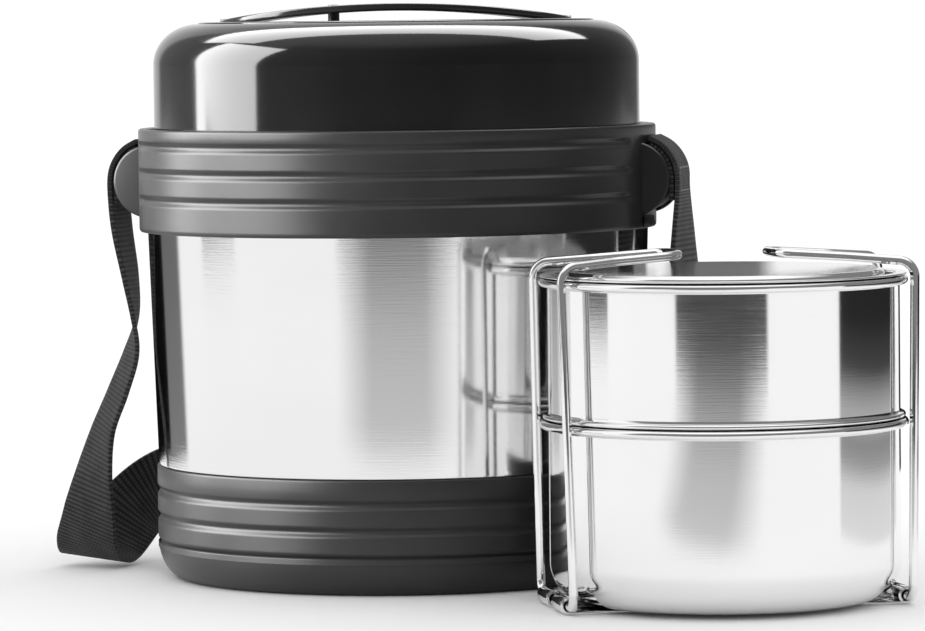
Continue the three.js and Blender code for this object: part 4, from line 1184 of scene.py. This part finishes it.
chosen = node(sky, "ShaderNodeMixShader", {
    0: ways.outputs["Is Camera Ray"], 1: lit.outputs[0], 2: seen_light.outputs[0]})
node(sky, "ShaderNodeOutputWorld", {"Surface": chosen.outputs[0]})
bpy.context.scene.view_settings.view_transform = "Standard"
print("the room has", len(BANDS), "stops round its walls")

# %% [markdown]
# ## Panels for the plastics
# Black plastic shows only very bright things, and such panels would burn out the steel. An area light
# can be linked to chosen pieces, so one pair lights the lid with its handle and catch, and a weaker
# pair the ribbed mouldings and the strap blocks.

# %% Panels
def receivers(name, pieces):
    """A collection of the pieces that a light is linked to."""
    made = bpy.data.collections.new(name)
    bpy.context.scene.collection.children.link(made)
    for piece in pieces:
        made.objects.link(piece)
    return made


mouldings = receivers("lit_mouldings", [base, collar, right_block, left_block])
lid_parts = receivers("lit_lid", [lid, handle, catch])


def panel(name, place, aim, width, height, radiance, lit_pieces):
    """A white panel of that radiance. An area light's power is radiance times area times pi."""
    bpy.ops.object.select_all(action="DESELECT")
    bpy.ops.object.light_add(type="AREA", location=place)
    light = bpy.context.object
    light.name = name
    light.data.shape = "RECTANGLE"
    light.data.size, light.data.size_y = width, height
    light.data.energy = radiance * width * height * math.pi
    light.rotation_euler = (Vector(aim) - Vector(place)).to_track_quat("-Z", "Y").to_euler()
    light.visible_camera = False
    light.light_linking.receiver_collection = lit_pieces
    print(name, "gives", round(light.data.energy), "W")


panel("lid_panel_left", (-1.25, -0.09, 0.55), (0, -0.04, 0.15), 0.98, 1.3, 25, lid_parts)
panel("lid_panel_above", (0.0, 0.55, 1.42), (0, 0, 0.17), 2.6, 0.9, 15, lid_parts)
panel("wide_panel_left", (-1.25, -0.27, 0.55), (0, -0.12, 0.15), 2.0, 1.3, 15, mouldings)
panel("rim_panel_above", (0.3, 0.35, 1.45), (0, 0, 0.17), 2.2, 1.0, 3, mouldings)

# %% [markdown]
# ## Cards for the steel
# Grey and black cards round the set give the steel its soft dark strips, as flags in a studio do. Real
# cards would shade the floor, so these glow a little, in steps of grey from foot to top, cast no light
# and are seen by reflections alone. Each fades into the room at its sides.

# %% Upright cards
def empty_finish(name):
    """A material without nodes that doesn't count as a light."""
    made = bpy.data.materials.new(name)
    made.use_nodes = True
    made.node_tree.nodes.clear()
    made.cycles.emission_sampling = "NONE"
    return made


def glow(finish, along, stops, shown):
    """Grey light that follows one coordinate through the stops; where it isn't shown, it is clear."""
    shade = ramp_colour(finish, along, [(at, grey(value)) for at, value in stops])
    lit = node(finish, "ShaderNodeEmission", {"Color": shade}).outputs[0]
    clear = node(finish, "ShaderNodeBsdfTransparent").outputs[0]
    card = node(finish, "ShaderNodeMixShader", {0: shown, 1: clear, 2: lit})
    node(finish, "ShaderNodeOutputMaterial", {"Surface": card.outputs[0]})


def hidden_card(name, finish, width, height, **place):
    """A card that reflections see and nothing else does."""
    bpy.ops.object.select_all(action="DESELECT")
    bpy.ops.mesh.primitive_plane_add(size=1, **place)
    card = bpy.context.object
    card.name = name
    card.scale = (width, height, 1)
    settle(card)
    card.data.materials.append(finish)
    for way in ("camera", "diffuse", "transmission", "volume_scatter", "shadow"):
        setattr(card, f"visible_{way}", False)


TOP_FADE = 0.92         # a card fades out above this share of its height


def flag(name, start, end, foot, top, stops, side_soft):
    """An upright card over the line from start to end, from foot to top; stops are at its heights."""
    height = top - foot
    across = Vector(end) - Vector(start)
    middle = (Vector(start) + Vector(end)) / 2
    finish = empty_finish(name + "_glow")
    own_uv = node(finish, "ShaderNodeTexCoord").outputs["UV"]
    place = node(finish, "ShaderNodeSeparateXYZ", {"Vector": own_uv})
    middle_out = math_node(finish, "ABSOLUTE", math_node(finish, "SUBTRACT", place.outputs["X"], 0.5))
    inside = between(finish, middle_out, 1, 0, 0.5 - side_soft, 0.5)
    below_top = between(finish, place.outputs["Y"], 1, 0, TOP_FADE, 1)
    glow(finish, place.outputs["Y"], [((z - foot) / height, value) for z, value in stops],
         math_node(finish, "MULTIPLY", inside, below_top))
    hidden_card(name, finish, across.length, height, location=(*middle, (foot + top) / 2),
                rotation=(math.pi / 2, 0, math.atan2(across.y, across.x)))


BLACK = [(0.011, 0.002), (0.105, 0.002)]
flag("black_left", (-0.270, 0.1995), (-0.095, 0.300), 0.011, 0.105, BLACK, 0.03)
flag("grey_left", (-0.345, 0.115), (-0.245, 0.245), 0.005, 0.105, [(0.005, 0.22), (0.105, 0.14)], 0.10)
flag("black_right", (0.095, 0.300), (0.270, 0.1995), 0.011, 0.105, BLACK, 0.03)
flag("rack_front", (-0.58, -1.12), (0.59, -1.12), 0, 0.11,
     [(0, 0.24), (0.008, 0.13), (0.03, 0.055), (0.055, 0.06), (0.09, 0.22), (0.11, 0.22)], 0.03)
flag("rack_left", (-1.4, -0.32), (-1.4, 0.22), 0, 0.12, [(0, 0.10), (0.015, 0.04), (0.12, 0.03)], 0.04)
flag("rack_right", (0.375, -0.200), (0.285, 0.095), 0, 0.12,
     [(0, 0.80), (0.018, 0.72), (0.026, 0.36), (0.034, 0.26), (0.041, 0.50), (0.049, 0.32), (0.058, 0.06),
      (0.075, 0.02), (0.12, 0.015)], 0.02)
flag("behind_rack", (0.108, 0.62), (0.158, 0.62), 0.06, 0.24, [(0.06, 0.5), (0.10, 0.12), (0.24, 0.14)], 0.16)
print("upright cards stand round the set")

# %% [markdown]
# ## The grey card on the floor
# Upright steel mirrors the floor in front of it, right out to the horizon. A card that lies in front of
# the carrier, wider the further it is away, puts one soft grey strip down the middle of each round wall.

# %% Floor card
CARD_NEAR, CARD_FAR = 0.32, 1.12        # metres in front of the carrier's axis
CARD_FADED_IN = 0.40
CARD_WIDTH = 1.2
CARD_LIFT = 0.0006
CORE, FADED = 0.21, 0.50                # sideways, as a share of the distance
FLOOR_GREYS = [(0, 0.62), (0.25, 0.60), (0.5, 0.54), (0.8, 0.36), (1, 0.30)]
floor_grey = empty_finish("grey_floor_glow")
spot = node(floor_grey, "ShaderNodeSeparateXYZ", {"Vector": object_place(floor_grey)})
away = math_node(floor_grey, "MULTIPLY", spot.outputs["Y"], -1.0)
aside = math_node(floor_grey, "ABSOLUTE", math_node(floor_grey, "DIVIDE", spot.outputs["X"], away))
near = between(floor_grey, away, 0, 1, CARD_NEAR, CARD_FADED_IN)
shown = math_node(floor_grey, "MULTIPLY", between(floor_grey, aside, 1, 0, CORE, FADED), near)
glow(floor_grey, between(floor_grey, away, 0, 1, CARD_NEAR, CARD_FAR), FLOOR_GREYS, shown)
hidden_card("grey_floor_card", floor_grey, CARD_WIDTH, CARD_FAR - CARD_NEAR,
            location=(0, -(CARD_NEAR + CARD_FAR) / 2, CARD_LIFT))
print("a grey card lies", CARD_NEAR, "to", CARD_FAR, "m in front")
